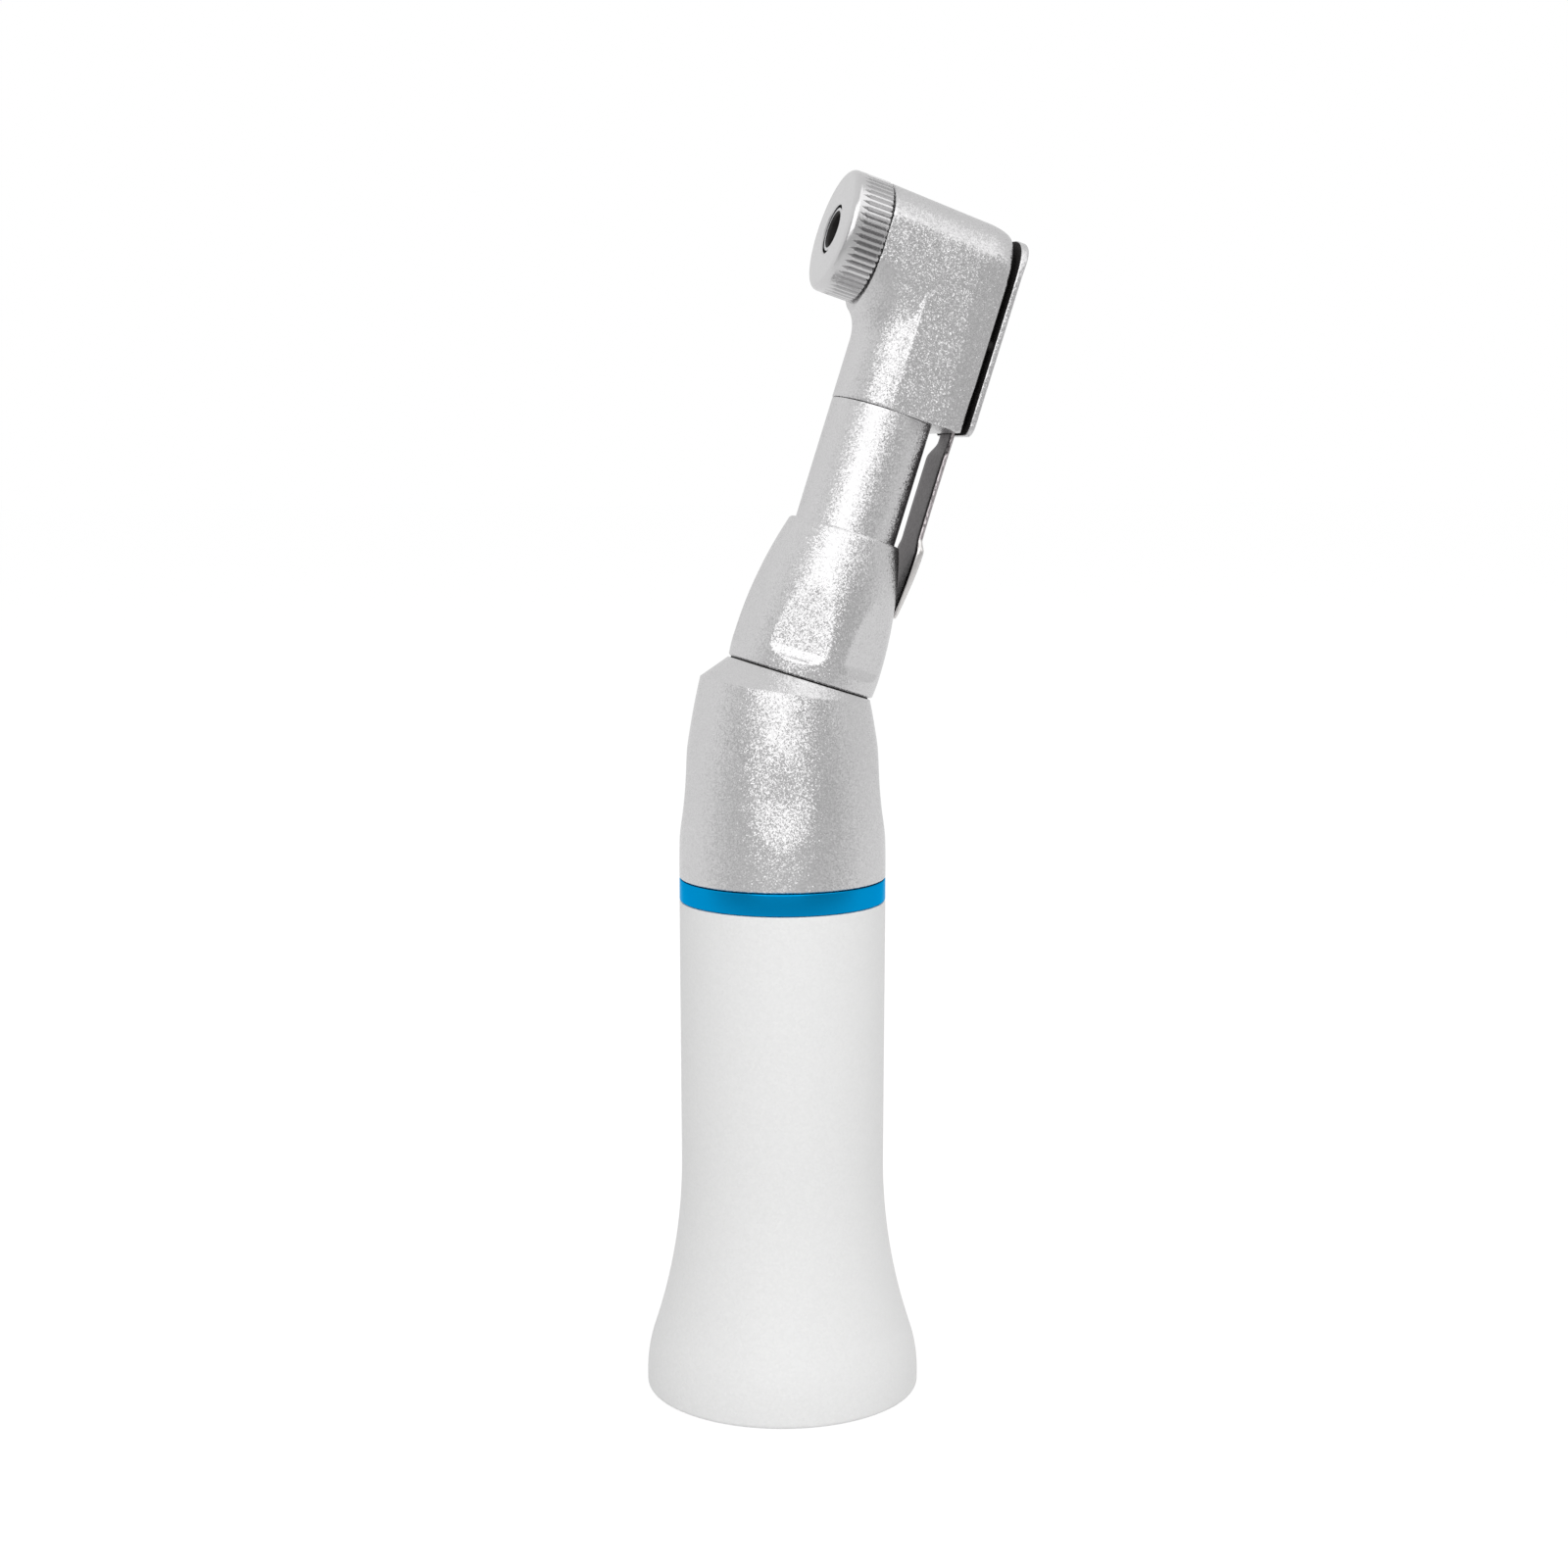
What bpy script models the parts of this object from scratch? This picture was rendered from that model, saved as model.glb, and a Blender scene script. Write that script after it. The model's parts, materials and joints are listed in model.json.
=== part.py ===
"""Prophy contra-angle: a dental handpiece head on a bent neck, driven through its handle by a motor.

Metres, +Z up. The rim of the handle stands on z = 0, centred on the origin. The neck leans towards +X
and the bur chuck points towards -X and up. Three frames carry the pieces: the world frame along the
handle, the neck frame along the neck's axis from the bend, and the head frame along the bur's axis.
"""
import math

import bmesh
import bpy
from mathutils import Matrix, Vector

# Fits
SEAM = 0.00005            # gap between pieces that are seated on each other
RUN = 0.00005             # radial clearance of a running fit
GEAR_ROOM = 0.00025       # clear space round a gear inside its cavity

# Handle
RIM_RADIUS = 0.0100
RIM_BAND = 0.0010         # straight band above the rim
RIM_CHAMFER = 0.0003
RIM_WALL = 0.0012
MOUTH_DEPTH = 0.0075      # depth of the flared mouth inside the rim
WAIST_RADIUS = 0.0074
FLARE_LENGTH = 0.0160
FLARE_CONVEX_SHARE = 0.31  # share of the flare that bulges, before it hollows
SHEATH_LENGTH = 0.0363
SHEATH_TOP_RADIUS = 0.00747
SHEATH_WALL = 0.00095
RING_HEIGHT = 0.00157

# Motor socket and its drive
LINER_BORE = 0.0046
DOG_RADIUS = 0.0020
DOG_START = 0.0095
DOG_LENGTH = 0.0080
DOG_SLOT_WIDTH = 0.0012
DOG_SLOT_DEPTH = 0.0018
DOG_FLOOR = 0.0030        # from the dog's claws to the floor of its bore
DOG_TRAVEL = 0.0015
CROSS_PIN_RADIUS = 0.0004
CROSS_PIN_DROP = 0.0019   # from the dog's top to the pin
SPRING_WIRE = 0.0002
SPRING_TURNS = 6
SPRING_POINTS_A_TURN = 10
CIRCLIP_RADIUS = 0.0021
CIRCLIP_THICKNESS = 0.0005

# Angle housing
SPIGOT_LENGTH = 0.0100    # how far the housing reaches down into the sheath
FRONT_STRAIGHT = 0.0010   # straight band above the colour ring
FRONT_ARC = 0.0600        # radius of the front's long arc
FRONT_RISE = 0.00563      # from the bend to the top of the turned front, before the bevel is taken off
BUSH_BORE = 0.0042
NUT_LENGTH = 0.0020
REAR_BUSH_LENGTH = 0.0028
MIDDLE_BUSH_LENGTH = 0.0030
BUSH_BOSS_RADIUS = 0.0026
BUSH_SHOULDER = 0.0043    # from the bend down to the shoulder that stops the bushes
SHAFT_RADIUS = 0.0012

# Bend and neck, along the neck's own axis from the bend
BEND_HEIGHT = 0.04837
BEND_ANGLE = 17.74
LIP_AT = 0.00418
LIP_RADIUS = 0.00538
LIP_SLOPE = 38.0          # half angle of the bevel under the lip
NOSE_RADIUS = 0.0042      # threaded nose that the lock ring runs on
NOSE_END = 0.0080
NECK_SPIGOT_RADIUS = 0.0037
NECK_START = 0.0026
NECK_FLANGE_RADIUS = 0.00415
NECK_FLANGE = 0.0009
NECK_RADIUS = 0.00369
NECK_END = 0.02402
NECK_STUB = 0.0035        # length of the stub inside the head
NECK_STUB_RADIUS = 0.0030
NECK_BORE = 0.0022
NECK_BUSH_LENGTH = 0.0028
NECK_BUSH_FLANGE = 0.0029
NECK_BUSH_FLANGE_LENGTH = 0.0004
NECK_SHAFT_RADIUS = 0.0010

# Lock ring
LOCK_GAP = 0.00012
LOCK_LENGTH = 0.01083
LOCK_BULGE_AT = 0.0015
LOCK_BULGE_RADIUS = 0.00547
LOCK_ARC = 0.0320
LOCK_GRIPS = 6
LOCK_GRIP_FIRST = -113.3  # where the first grip stands round the neck
LOCK_GRIP_FLAT = 0.0050   # from the neck's axis to the flat of a grip
LOCK_GRIP_FLOOR = 0.0021  # foot of the flat, above the ring's foot
LOCK_GRIP_FOOT = 0.0011   # where the sloping end of a grip comes out

# Head, along the bur's axis from its crossing with the neck's axis
HEAD_AT = 0.03512
BARREL_FRONT = 0.00485
BARREL_BACK = 0.00503     # from the crossing to the flat back
BARREL_RADIUS = 0.00435
BARREL_WAIST = 0.0041     # radius where the back begins to round over
BARREL_ROUND = 0.0017     # length of the rounded back
BARREL_BACK_RADIUS = 0.0037
BLOCK_HALF_WIDTH = 0.00375
BLOCK_FRONT = 0.0006      # how far the flat sides reach in front of the neck's axis
CHEST_RADIUS = 0.00372
GEAR_CAVITY_BACK = 0.0029
REAR_BUSH_RADIUS = 0.0026
DRUM_RADIUS = 0.00175
DRUM_NOSE_RADIUS = 0.001575
DRUM_NOSE_AT = 0.0071
DRUM_BORE = 0.0012
DRUM_CHAMFER = 0.00015
CAP_FACE = 0.0075
CAP_RADIUS = 0.0044
CAP_HOLE = 0.001775
CAP_EDGE = 0.0004
CAP_SPIGOT = 0.0005

# Latch
SLOT = 0.00040
LEVER_THICKNESS = 0.0003
COVER_THICKNESS = 0.0004
COVER_TOP = 0.0035
COVER_CORNER = 0.0008
PIVOT_AT = 0.0070         # from the bur's axis down to the latch pivot
PIVOT_RADIUS = 0.0005
PIN_DEPTH = 0.0014        # how deep the pivot and rivets stand in the head
RIVET_RADIUS = 0.0004
RIVET_SIDE = 0.0029
UPPER_RIVET = 0.0045
LOWER_RIVET = 0.0100
BLADE_HALF_WIDTH = 0.0013
BLADE_TOP = 0.0012
STRIP_HALF_WIDTH = 0.0015
LEAF_HALF_WIDTH = 0.0026
LEAF_LENGTH = 0.0062
TIP_AT = 0.0104           # lever tip, along the neck's axis
TIP_STAND_OFF = 0.00538   # middle of the lever's tip from the neck's axis
TAIL_STAND_OFF = 0.00505  # middle of the lever's tail where it leaves the slot
TAIL_OVERLAP = 0.0006
LATCH_SWING = 20.0        # how far the lever turns to let the bur go

# Gears
TEETH = 12
ADDENDUM = 0.00025
DEDENDUM = 0.00035
TIP_SHARE = 0.45          # width of a tooth's tip against its foot
BEND_GEAR_BACK = 0.0009   # stock behind the teeth
HEAD_GEAR_BACK = 0.0004
BEND_GEAR_REACH = 0.0034  # from the bend to the outer end of the teeth
HEAD_GEAR_REACH = 0.0039  # from the bur's axis crossing to the outer end of the teeth
FACE_WIDTH = 0.0009

# Facets
TURN_STEPS = 40
SMALL_STEPS = 24
PIN_STEPS = 12
ARC_POINTS = 6

# Places that follow from the sizes above
BEND = math.radians(BEND_ANGLE)
SHEATH_BORE = WAIST_RADIUS - SHEATH_WALL
SPIGOT_RADIUS = SHEATH_BORE - SEAM
RING_START = SHEATH_LENGTH + SEAM
FRONT_START = RING_START + RING_HEIGHT + SEAM
SPIGOT_START = SHEATH_LENGTH - SPIGOT_LENGTH
FRONT_TOP = BEND_HEIGHT + FRONT_RISE
BUSH_TOP = BEND_HEIGHT - BUSH_SHOULDER
NUT_START = SPIGOT_START + SEAM
DOG_TOP = DOG_START + DOG_LENGTH
CROSS_PIN_AT = DOG_TOP - CROSS_PIN_DROP
LOCK_START = LIP_AT + LOCK_GAP
LOCK_END = LOCK_START + LOCK_LENGTH
FLANGE_START = NOSE_END + SEAM
BLOCK_FOOT = NECK_END + SEAM
LEVER_MIDDLE = BARREL_BACK + SLOT / 2
COVER_START = BARREL_BACK + SLOT
BACK_GAP = COVER_START + COVER_THICKNESS
STUB_END = NECK_END + NECK_STUB
HEAD_CONE = math.radians(45)
HEAD_GEAR_RADIUS = HEAD_GEAR_REACH * math.sin(HEAD_CONE) + ADDENDUM
HEAD_CAVITY = HEAD_GEAR_RADIUS + GEAR_ROOM
BEND_CONE = math.radians(90 - BEND_ANGLE / 2)
BEND_CAVITY = BEND_GEAR_REACH + GEAR_ROOM


def clear_scene():
    """Remove whatever the scene holds, and give back the collections for the pieces and the cutters."""
    for old in list(bpy.data.objects):
        bpy.data.objects.remove(old, do_unlink=True)
    folders = []
    for name in ("prophy_angle", "cutters"):
        folder = bpy.data.collections.get(name) or bpy.data.collections.new(name)
        if name not in bpy.context.scene.collection.children:
            bpy.context.scene.collection.children.link(folder)
        folders.append(folder)
    return folders


PARTS, CUTTERS = clear_scene()


def finish(name, color, roughness, metallic):
    """A Principled material for one kind of surface."""
    made = bpy.data.materials.new(name)
    made.use_nodes = True
    shader = made.node_tree.nodes["Principled BSDF"]
    shader.inputs["Base Color"].default_value = (*color, 1.0)
    shader.inputs["Roughness"].default_value = roughness
    shader.inputs["Metallic"].default_value = metallic
    return made


COLOURS = {
    "sheath": ((0.83, 0.83, 0.81), 0.42, 0.0),
    "blue": ((0.0, 0.19, 0.55), 0.22, 1.0),
    "satin": ((0.66, 0.65, 0.63), 0.38, 1.0),
    "steel": ((0.55, 0.55, 0.56), 0.30, 1.0),
    "bronze": ((0.62, 0.45, 0.22), 0.40, 1.0),
    "dark": ((0.14, 0.14, 0.15), 0.45, 0.6),
}


def add(name, data, colour, parent=None, place=(0, 0, 0), turn=(0, 0, 0)):
    """Link a new object, as a piece with its own material, or as a hidden cutter when colour is None."""
    made = bpy.data.objects.new(name, data)
    made.location = place
    made.rotation_euler = turn
    made.parent = parent
    if colour is None:
        made.hide_render = True
        made.display_type = "WIRE"
        CUTTERS.objects.link(made)
    else:
        data.materials.append(finish(name, *COLOURS[colour]))
        PARTS.objects.link(made)
    return made


def frame(name, place, turn, parent=None):
    """An empty that carries the pieces of one axis."""
    made = bpy.data.objects.new(name, None)
    made.location = place
    made.rotation_euler = turn
    made.parent = parent
    PARTS.objects.link(made)
    return made


def turned(name, profile, colour=None, parent=None, steps=TURN_STEPS, place=(0, 0, 0), turn=(0, 0, 0)):
    """Turn a profile of (radius, height) points about Z; it closes on itself or ends on the axis."""
    count = len(profile)
    edges = [(i, i + 1) for i in range(count - 1)]
    if profile[0][0] > 0 or profile[-1][0] > 0:
        edges.append((count - 1, 0))
    mesh = bpy.data.meshes.new(name)
    mesh.from_pydata([(radius, 0, height) for radius, height in profile], edges, [])
    made = add(name, mesh, colour, parent, place, turn)
    screw = made.modifiers.new("Turn", "SCREW")
    screw.steps = steps
    screw.render_steps = steps
    screw.use_merge_vertices = True
    screw.merge_threshold = 1e-7
    screw.use_smooth_shade = True
    return made


def tube(outer, inner, low, high):
    """Profile of a plain ring or bush."""
    return [(outer, high), (outer, low), (inner, low), (inner, high)]


def rod(radius, low, high):
    """Profile of a plain solid round."""
    return [(0, high), (radius, high), (radius, low), (0, low)]


def boolean(target, tool, operation="DIFFERENCE"):
    """Cut one object with another, or join the other to it."""
    step = target.modifiers.new(tool.name, "BOOLEAN")
    step.operation = operation
    step.solver = "EXACT"
    step.object = tool


def plate(name, outline, thickness, colour=None, parent=None, place=(0, 0, 0), turn=(0, 0, 0)):
    """A flat outline of (x, y) points, given a thickness about its own plane."""
    curve = bpy.data.curves.new(name, "CURVE")
    curve.dimensions = "2D"
    curve.fill_mode = "BOTH"
    curve.extrude = thickness / 2
    spline = curve.splines.new("POLY")
    spline.points.add(len(outline) - 1)
    for point, (x, y) in zip(spline.points, outline):
        point.co = (x, y, 0, 1)
    spline.use_cyclic_u = True
    drawn = bpy.data.objects.new(name + "_outline", curve)
    PARTS.objects.link(drawn)
    seen = drawn.evaluated_get(bpy.context.evaluated_depsgraph_get())
    mesh = bpy.data.meshes.new_from_object(seen)
    bpy.data.objects.remove(drawn)
    work = bmesh.new()
    work.from_mesh(mesh)
    bmesh.ops.remove_doubles(work, verts=work.verts, dist=1e-7)
    bmesh.ops.recalc_face_normals(work, faces=work.faces)
    work.to_mesh(mesh)
    work.free()
    mesh.name = name
    return add(name, mesh, colour, parent, place, turn)


def block(name, size, centre, parent=None, turn=(0, 0, 0)):
    """A hidden box that cuts or joins."""
    mesh = bpy.data.meshes.new(name)
    work = bmesh.new()
    bmesh.ops.create_cube(work, size=1.0, matrix=Matrix.Diagonal((*size, 1.0)))
    work.to_mesh(mesh)
    work.free()
    return add(name, mesh, None, parent, centre, turn)


def arc(radius, drop_centre, low, high, points=ARC_POINTS):
    """Points of a long arc that starts upright at low and curves in towards high, from high to low."""
    made = []
    for i in range(points + 1):
        height = high + (low - high) * i / points
        rise = height - low
        made.append((drop_centre - radius + math.sqrt(radius * radius - rise * rise), height))
    return made


def flare_points():
    """The bell of the handle: a bulging arc from the rim, then a hollow arc tangent to it and the waist."""
    drop = RIM_RADIUS - WAIST_RADIUS
    slope = 2 * math.atan2(drop, FLARE_LENGTH)
    total = FLARE_LENGTH / math.sin(slope)
    bulge = total * FLARE_CONVEX_SHARE
    hollow = total - bulge
    top = RIM_BAND + FLARE_LENGTH
    upper = []
    lower = []
    for i in range(ARC_POINTS):
        angle = slope * i / ARC_POINTS
        upper.append((WAIST_RADIUS + hollow * (1 - math.cos(angle)), top - hollow * math.sin(angle)))
        angle = slope * (ARC_POINTS - i) / ARC_POINTS
        lower.append((RIM_RADIUS - bulge * (1 - math.cos(angle)), RIM_BAND + bulge * math.sin(angle)))
    return upper + lower


def bevel_gear(name, cone, reach, stock, bore, phase, parent, place, turn=(0, 0, 0)):
    """A bevel gear below its apex at the local origin: every other side of a cone is drawn out as a tooth."""
    sine = math.sin(cone)
    cosine = math.cos(cone)
    rings = []
    for distance in (reach, reach - FACE_WIDTH):
        rings.append((distance * sine - DEDENDUM * cosine, -distance * cosine - DEDENDUM * sine))
    (low_radius, low), (high_radius, high) = rings
    middle = Matrix.Translation((0, 0, (low + high) / 2))
    spin = Matrix.Rotation(phase + math.pi / (2 * TEETH), 4, "Z")
    work = bmesh.new()
    bmesh.ops.create_cone(
        work, cap_ends=True, segments=2 * TEETH, radius1=low_radius, radius2=high_radius,
        depth=high - low, matrix=middle @ spin)
    work.normal_update()
    pitch = 2 * math.pi / TEETH
    feet = []
    back = None
    for side in work.faces:
        centre = side.calc_center_median()
        if len(side.verts) == 4:
            step = (math.atan2(centre.y, centre.x) - phase) / pitch
            if abs(step - round(step)) < 0.25:
                feet.append(side)
        elif centre.z < (low + high) / 2:
            back = side
    teeth = bmesh.ops.extrude_discrete_faces(work, faces=feet)["faces"]
    for tip in teeth:
        centre = tip.calc_center_median()
        out = Vector((centre.x, centre.y, 0)).normalized()
        across = Vector((-out.y, out.x, 0))
        lift = (out * cosine + Vector((0, 0, sine))) * (ADDENDUM + DEDENDUM)
        for corner in tip.verts:
            offset = across.dot(corner.co - centre)
            corner.co += lift - across * offset * (1 - TIP_SHARE)
    drawn = bmesh.ops.extrude_face_region(work, geom=[back])["geom"]
    bmesh.ops.delete(work, geom=[back], context="FACES_ONLY")
    moved = [item for item in drawn if isinstance(item, bmesh.types.BMVert)]
    bmesh.ops.translate(work, verts=moved, vec=(0, 0, -stock))
    bmesh.ops.recalc_face_normals(work, faces=work.faces)
    mesh = bpy.data.meshes.new(name)
    work.to_mesh(mesh)
    work.free()
    made = add(name, mesh, "steel", parent, place, turn)
    hole = turned(name + "_bore", rod(bore, low - 2 * stock, high + stock), None, parent,
                  SMALL_STEPS, place, turn)
    boolean(made, hole)
    return made


def gear_root(cone, reach):
    """Distance along a gear's axis from its apex to the foot of its teeth."""
    return reach * math.cos(cone) + DEDENDUM * math.sin(cone)


def make_handle():
    """The white sheath, the motor socket's liner and the colour ring."""
    mouth = RIM_RADIUS - RIM_WALL
    outside = [(SHEATH_TOP_RADIUS, SHEATH_LENGTH)] + flare_points()
    outside += [(RIM_RADIUS, RIM_BAND), (RIM_RADIUS, RIM_CHAMFER), (RIM_RADIUS - RIM_CHAMFER, 0)]
    inside = [(mouth, 0), (SHEATH_BORE, MOUTH_DEPTH), (SHEATH_BORE, SHEATH_LENGTH)]
    turned("handle_sheath", outside + inside, "sheath")
    liner = tube(SHEATH_BORE - SEAM, LINER_BORE, MOUTH_DEPTH + SEAM, SPIGOT_START - SEAM)
    turned("coupling_bush", liner, "steel")
    ring = tube(SHEATH_TOP_RADIUS, SHEATH_BORE, RING_START, RING_START + RING_HEIGHT)
    turned("colour_ring", ring, "blue")


def make_housing(neck):
    """The angle housing: a turned front, cut off square to the neck with a bevel, with bores on both axes."""
    upright = FRONT_START + FRONT_STRAIGHT
    front = [(0, FRONT_TOP)] + arc(FRONT_ARC, SHEATH_TOP_RADIUS, upright, FRONT_TOP)
    front += [(SHEATH_TOP_RADIUS, FRONT_START), (SPIGOT_RADIUS, FRONT_START), (SPIGOT_RADIUS, SPIGOT_START)]
    front += [(BUSH_BORE, SPIGOT_START), (BUSH_BORE, BUSH_TOP), (BEND_CAVITY, BUSH_TOP)]
    front += [(BEND_CAVITY, BEND_HEIGHT + GEAR_ROOM), (0, BEND_HEIGHT + GEAR_ROOM)]
    housing = turned("angle_housing", front, "satin")
    wide = 3 * SHEATH_TOP_RADIUS
    skirt = LIP_AT - (wide - LIP_RADIUS) / math.tan(math.radians(LIP_SLOPE))
    trim = [(0, wide), (wide, wide), (wide, skirt), (LIP_RADIUS, LIP_AT), (0, LIP_AT)]
    boolean(housing, turned("lip_trim", trim, None, neck))
    nose = rod(NOSE_RADIUS, LIP_AT - NOSE_RADIUS / 2, NOSE_END)
    boolean(housing, turned("nose_stock", nose, None, neck, SMALL_STEPS), "UNION")
    bore = rod(NECK_SPIGOT_RADIUS + SEAM, -NECK_START / 2, NOSE_END + NOSE_RADIUS)
    boolean(housing, turned("neck_socket", bore, None, neck))


def make_rear_bearings():
    """Bushes, spacer and nut stacked in the housing's bore, up to its shoulder."""
    outer = BUSH_BORE - SEAM
    inner = SHAFT_RADIUS + RUN
    nut_end = NUT_START + NUT_LENGTH
    turned("bush_nut", tube(outer, inner, NUT_START, nut_end), "steel", None, SMALL_STEPS)
    rear_end = nut_end + SEAM + REAR_BUSH_LENGTH
    turned("rear_bush", tube(outer, inner, nut_end + SEAM, rear_end), "bronze", None, SMALL_STEPS)
    middle = BUSH_TOP - SEAM - MIDDLE_BUSH_LENGTH
    spacer = tube(outer, BUSH_BOSS_RADIUS, rear_end + SEAM, middle - SEAM)
    turned("bush_spacer", spacer, "steel", None, SMALL_STEPS)
    boss = BEND_HEIGHT - gear_root(BEND_CONE, BEND_GEAR_REACH) - BEND_GEAR_BACK - SEAM
    bush = [(BUSH_BOSS_RADIUS, boss), (BUSH_BOSS_RADIUS, BUSH_TOP - SEAM), (outer, BUSH_TOP - SEAM)]
    bush += [(outer, middle), (inner, middle), (inner, boss)]
    turned("middle_bush", bush, "bronze", None, SMALL_STEPS)


def spring_points(low, high):
    """Points of the dog spring's helix about Z."""
    radius = SHAFT_RADIUS + RUN + 2 * SPRING_WIRE
    count = SPRING_TURNS * SPRING_POINTS_A_TURN
    points = []
    for i in range(count + 1):
        angle = 2 * math.pi * i / SPRING_POINTS_A_TURN
        points.append((radius * math.cos(angle), radius * math.sin(angle), low + (high - low) * i / count))
    return points


def make_rear_drive():
    """The shaft in the handle, its gear, and the sprung dog that the motor turns."""
    shaft_top = BEND_HEIGHT - gear_root(BEND_CONE, BEND_GEAR_REACH)
    shaft_foot = DOG_START + DOG_FLOOR + DOG_TRAVEL + 2 * SEAM
    shaft = turned("rear_shaft", rod(SHAFT_RADIUS, shaft_foot, shaft_top), "steel", None, SMALL_STEPS)
    across = (0, math.pi / 2, 0)
    centre = (0, 0, CROSS_PIN_AT)
    half = DOG_RADIUS - SEAM
    hole = rod(CROSS_PIN_RADIUS + SEAM, -2 * DOG_RADIUS, 2 * DOG_RADIUS)
    boolean(shaft, turned("cross_pin_hole", hole, None, None, PIN_STEPS, centre, across))
    pin = rod(CROSS_PIN_RADIUS, -half, half)
    turned("dog_cross_pin", pin, "steel", None, PIN_STEPS, centre, across)
    bevel_gear("rear_gear", BEND_CONE, BEND_GEAR_REACH, BEND_GEAR_BACK, SHAFT_RADIUS + SEAM, 0, None,
               (0, 0, BEND_HEIGHT))
    clip_top = SPIGOT_START - 2 * SEAM
    clip = tube(CIRCLIP_RADIUS, SHAFT_RADIUS + SEAM, clip_top - CIRCLIP_THICKNESS, clip_top)
    turned("rear_circlip", clip, "dark", None, SMALL_STEPS)

    floor = DOG_START + DOG_FLOOR
    bore = SHAFT_RADIUS + RUN
    profile = [(0, floor), (bore, floor), (bore, DOG_TOP), (DOG_RADIUS, DOG_TOP), (DOG_RADIUS, DOG_START)]
    dog = turned("drive_dog", profile + [(0, DOG_START)], "steel", None, SMALL_STEPS)
    claw = (DOG_SLOT_WIDTH, 3 * DOG_RADIUS, 2 * DOG_SLOT_DEPTH)
    boolean(dog, block("claw_slot", claw, (0, 0, DOG_START)))
    way = 2 * (CROSS_PIN_RADIUS + RUN)
    window = (3 * DOG_RADIUS, way, DOG_TRAVEL + way)
    boolean(dog, block("pin_window", window, (0, 0, CROSS_PIN_AT - DOG_TRAVEL / 2)))

    points = spring_points(DOG_TOP + SPRING_WIRE + SEAM, clip_top - CIRCLIP_THICKNESS - SPRING_WIRE - SEAM)
    gap = (Vector(points[SPRING_POINTS_A_TURN]) - Vector(points[0])).length - 2 * SPRING_WIRE
    print("dog spring: least gap between turns", round(gap * 1000, 3), "mm")
    curve = bpy.data.curves.new("dog_spring", "CURVE")
    curve.dimensions = "3D"
    curve.bevel_depth = SPRING_WIRE
    curve.bevel_resolution = 1
    curve.use_fill_caps = True
    spline = curve.splines.new("POLY")
    spline.points.add(len(points) - 1)
    for point, place in zip(spline.points, points):
        point.co = (*place, 1)
    add("dog_spring", curve, "steel")


def make_neck(neck):
    """The neck tube with its flange, its bushes, the shaft inside it and the gears on the shaft."""
    profile = [(NECK_STUB_RADIUS, STUB_END), (NECK_STUB_RADIUS, NECK_END), (NECK_RADIUS, NECK_END)]
    profile += [(NECK_RADIUS, FLANGE_START + NECK_FLANGE), (NECK_FLANGE_RADIUS, FLANGE_START + NECK_FLANGE)]
    profile += [(NECK_FLANGE_RADIUS, FLANGE_START), (NECK_SPIGOT_RADIUS, FLANGE_START)]
    profile += [(NECK_SPIGOT_RADIUS, NECK_START), (NECK_BORE, NECK_START), (NECK_BORE, STUB_END)]
    turned("neck_tube", profile, "satin", neck)
    outer = NECK_BORE - SEAM
    inner = NECK_SHAFT_RADIUS + RUN
    foot = NECK_START - SEAM
    lower = [(outer, foot + NECK_BUSH_LENGTH), (outer, foot), (NECK_BUSH_FLANGE, foot)]
    lower += [(NECK_BUSH_FLANGE, foot - NECK_BUSH_FLANGE_LENGTH), (inner, foot - NECK_BUSH_FLANGE_LENGTH)]
    lower += [(inner, foot + NECK_BUSH_LENGTH)]
    turned("neck_lower_bush", lower, "bronze", neck, SMALL_STEPS)
    seat = STUB_END + SEAM
    upper = [(NECK_BUSH_FLANGE, seat + NECK_BUSH_FLANGE_LENGTH), (NECK_BUSH_FLANGE, seat), (outer, seat)]
    upper += [(outer, seat - NECK_BUSH_LENGTH), (inner, seat - NECK_BUSH_LENGTH)]
    upper += [(inner, seat + NECK_BUSH_FLANGE_LENGTH)]
    turned("neck_upper_bush", upper, "bronze", neck, SMALL_STEPS)
    shaft_foot = gear_root(BEND_CONE, BEND_GEAR_REACH)
    shaft_top = HEAD_AT - DRUM_RADIUS - 4 * SEAM
    turned("neck_shaft", rod(NECK_SHAFT_RADIUS, shaft_foot, shaft_top), "steel", neck, SMALL_STEPS)
    fit = NECK_SHAFT_RADIUS + SEAM
    over = (math.pi, 0, 0)
    bevel_gear("neck_gear", BEND_CONE, BEND_GEAR_REACH, BEND_GEAR_BACK, fit, math.pi / TEETH, neck,
               (0, 0, 0), over)
    bevel_gear("head_pinion", HEAD_CONE, HEAD_GEAR_REACH, HEAD_GEAR_BACK, fit, math.pi, neck,
               (0, 0, HEAD_AT))


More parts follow.
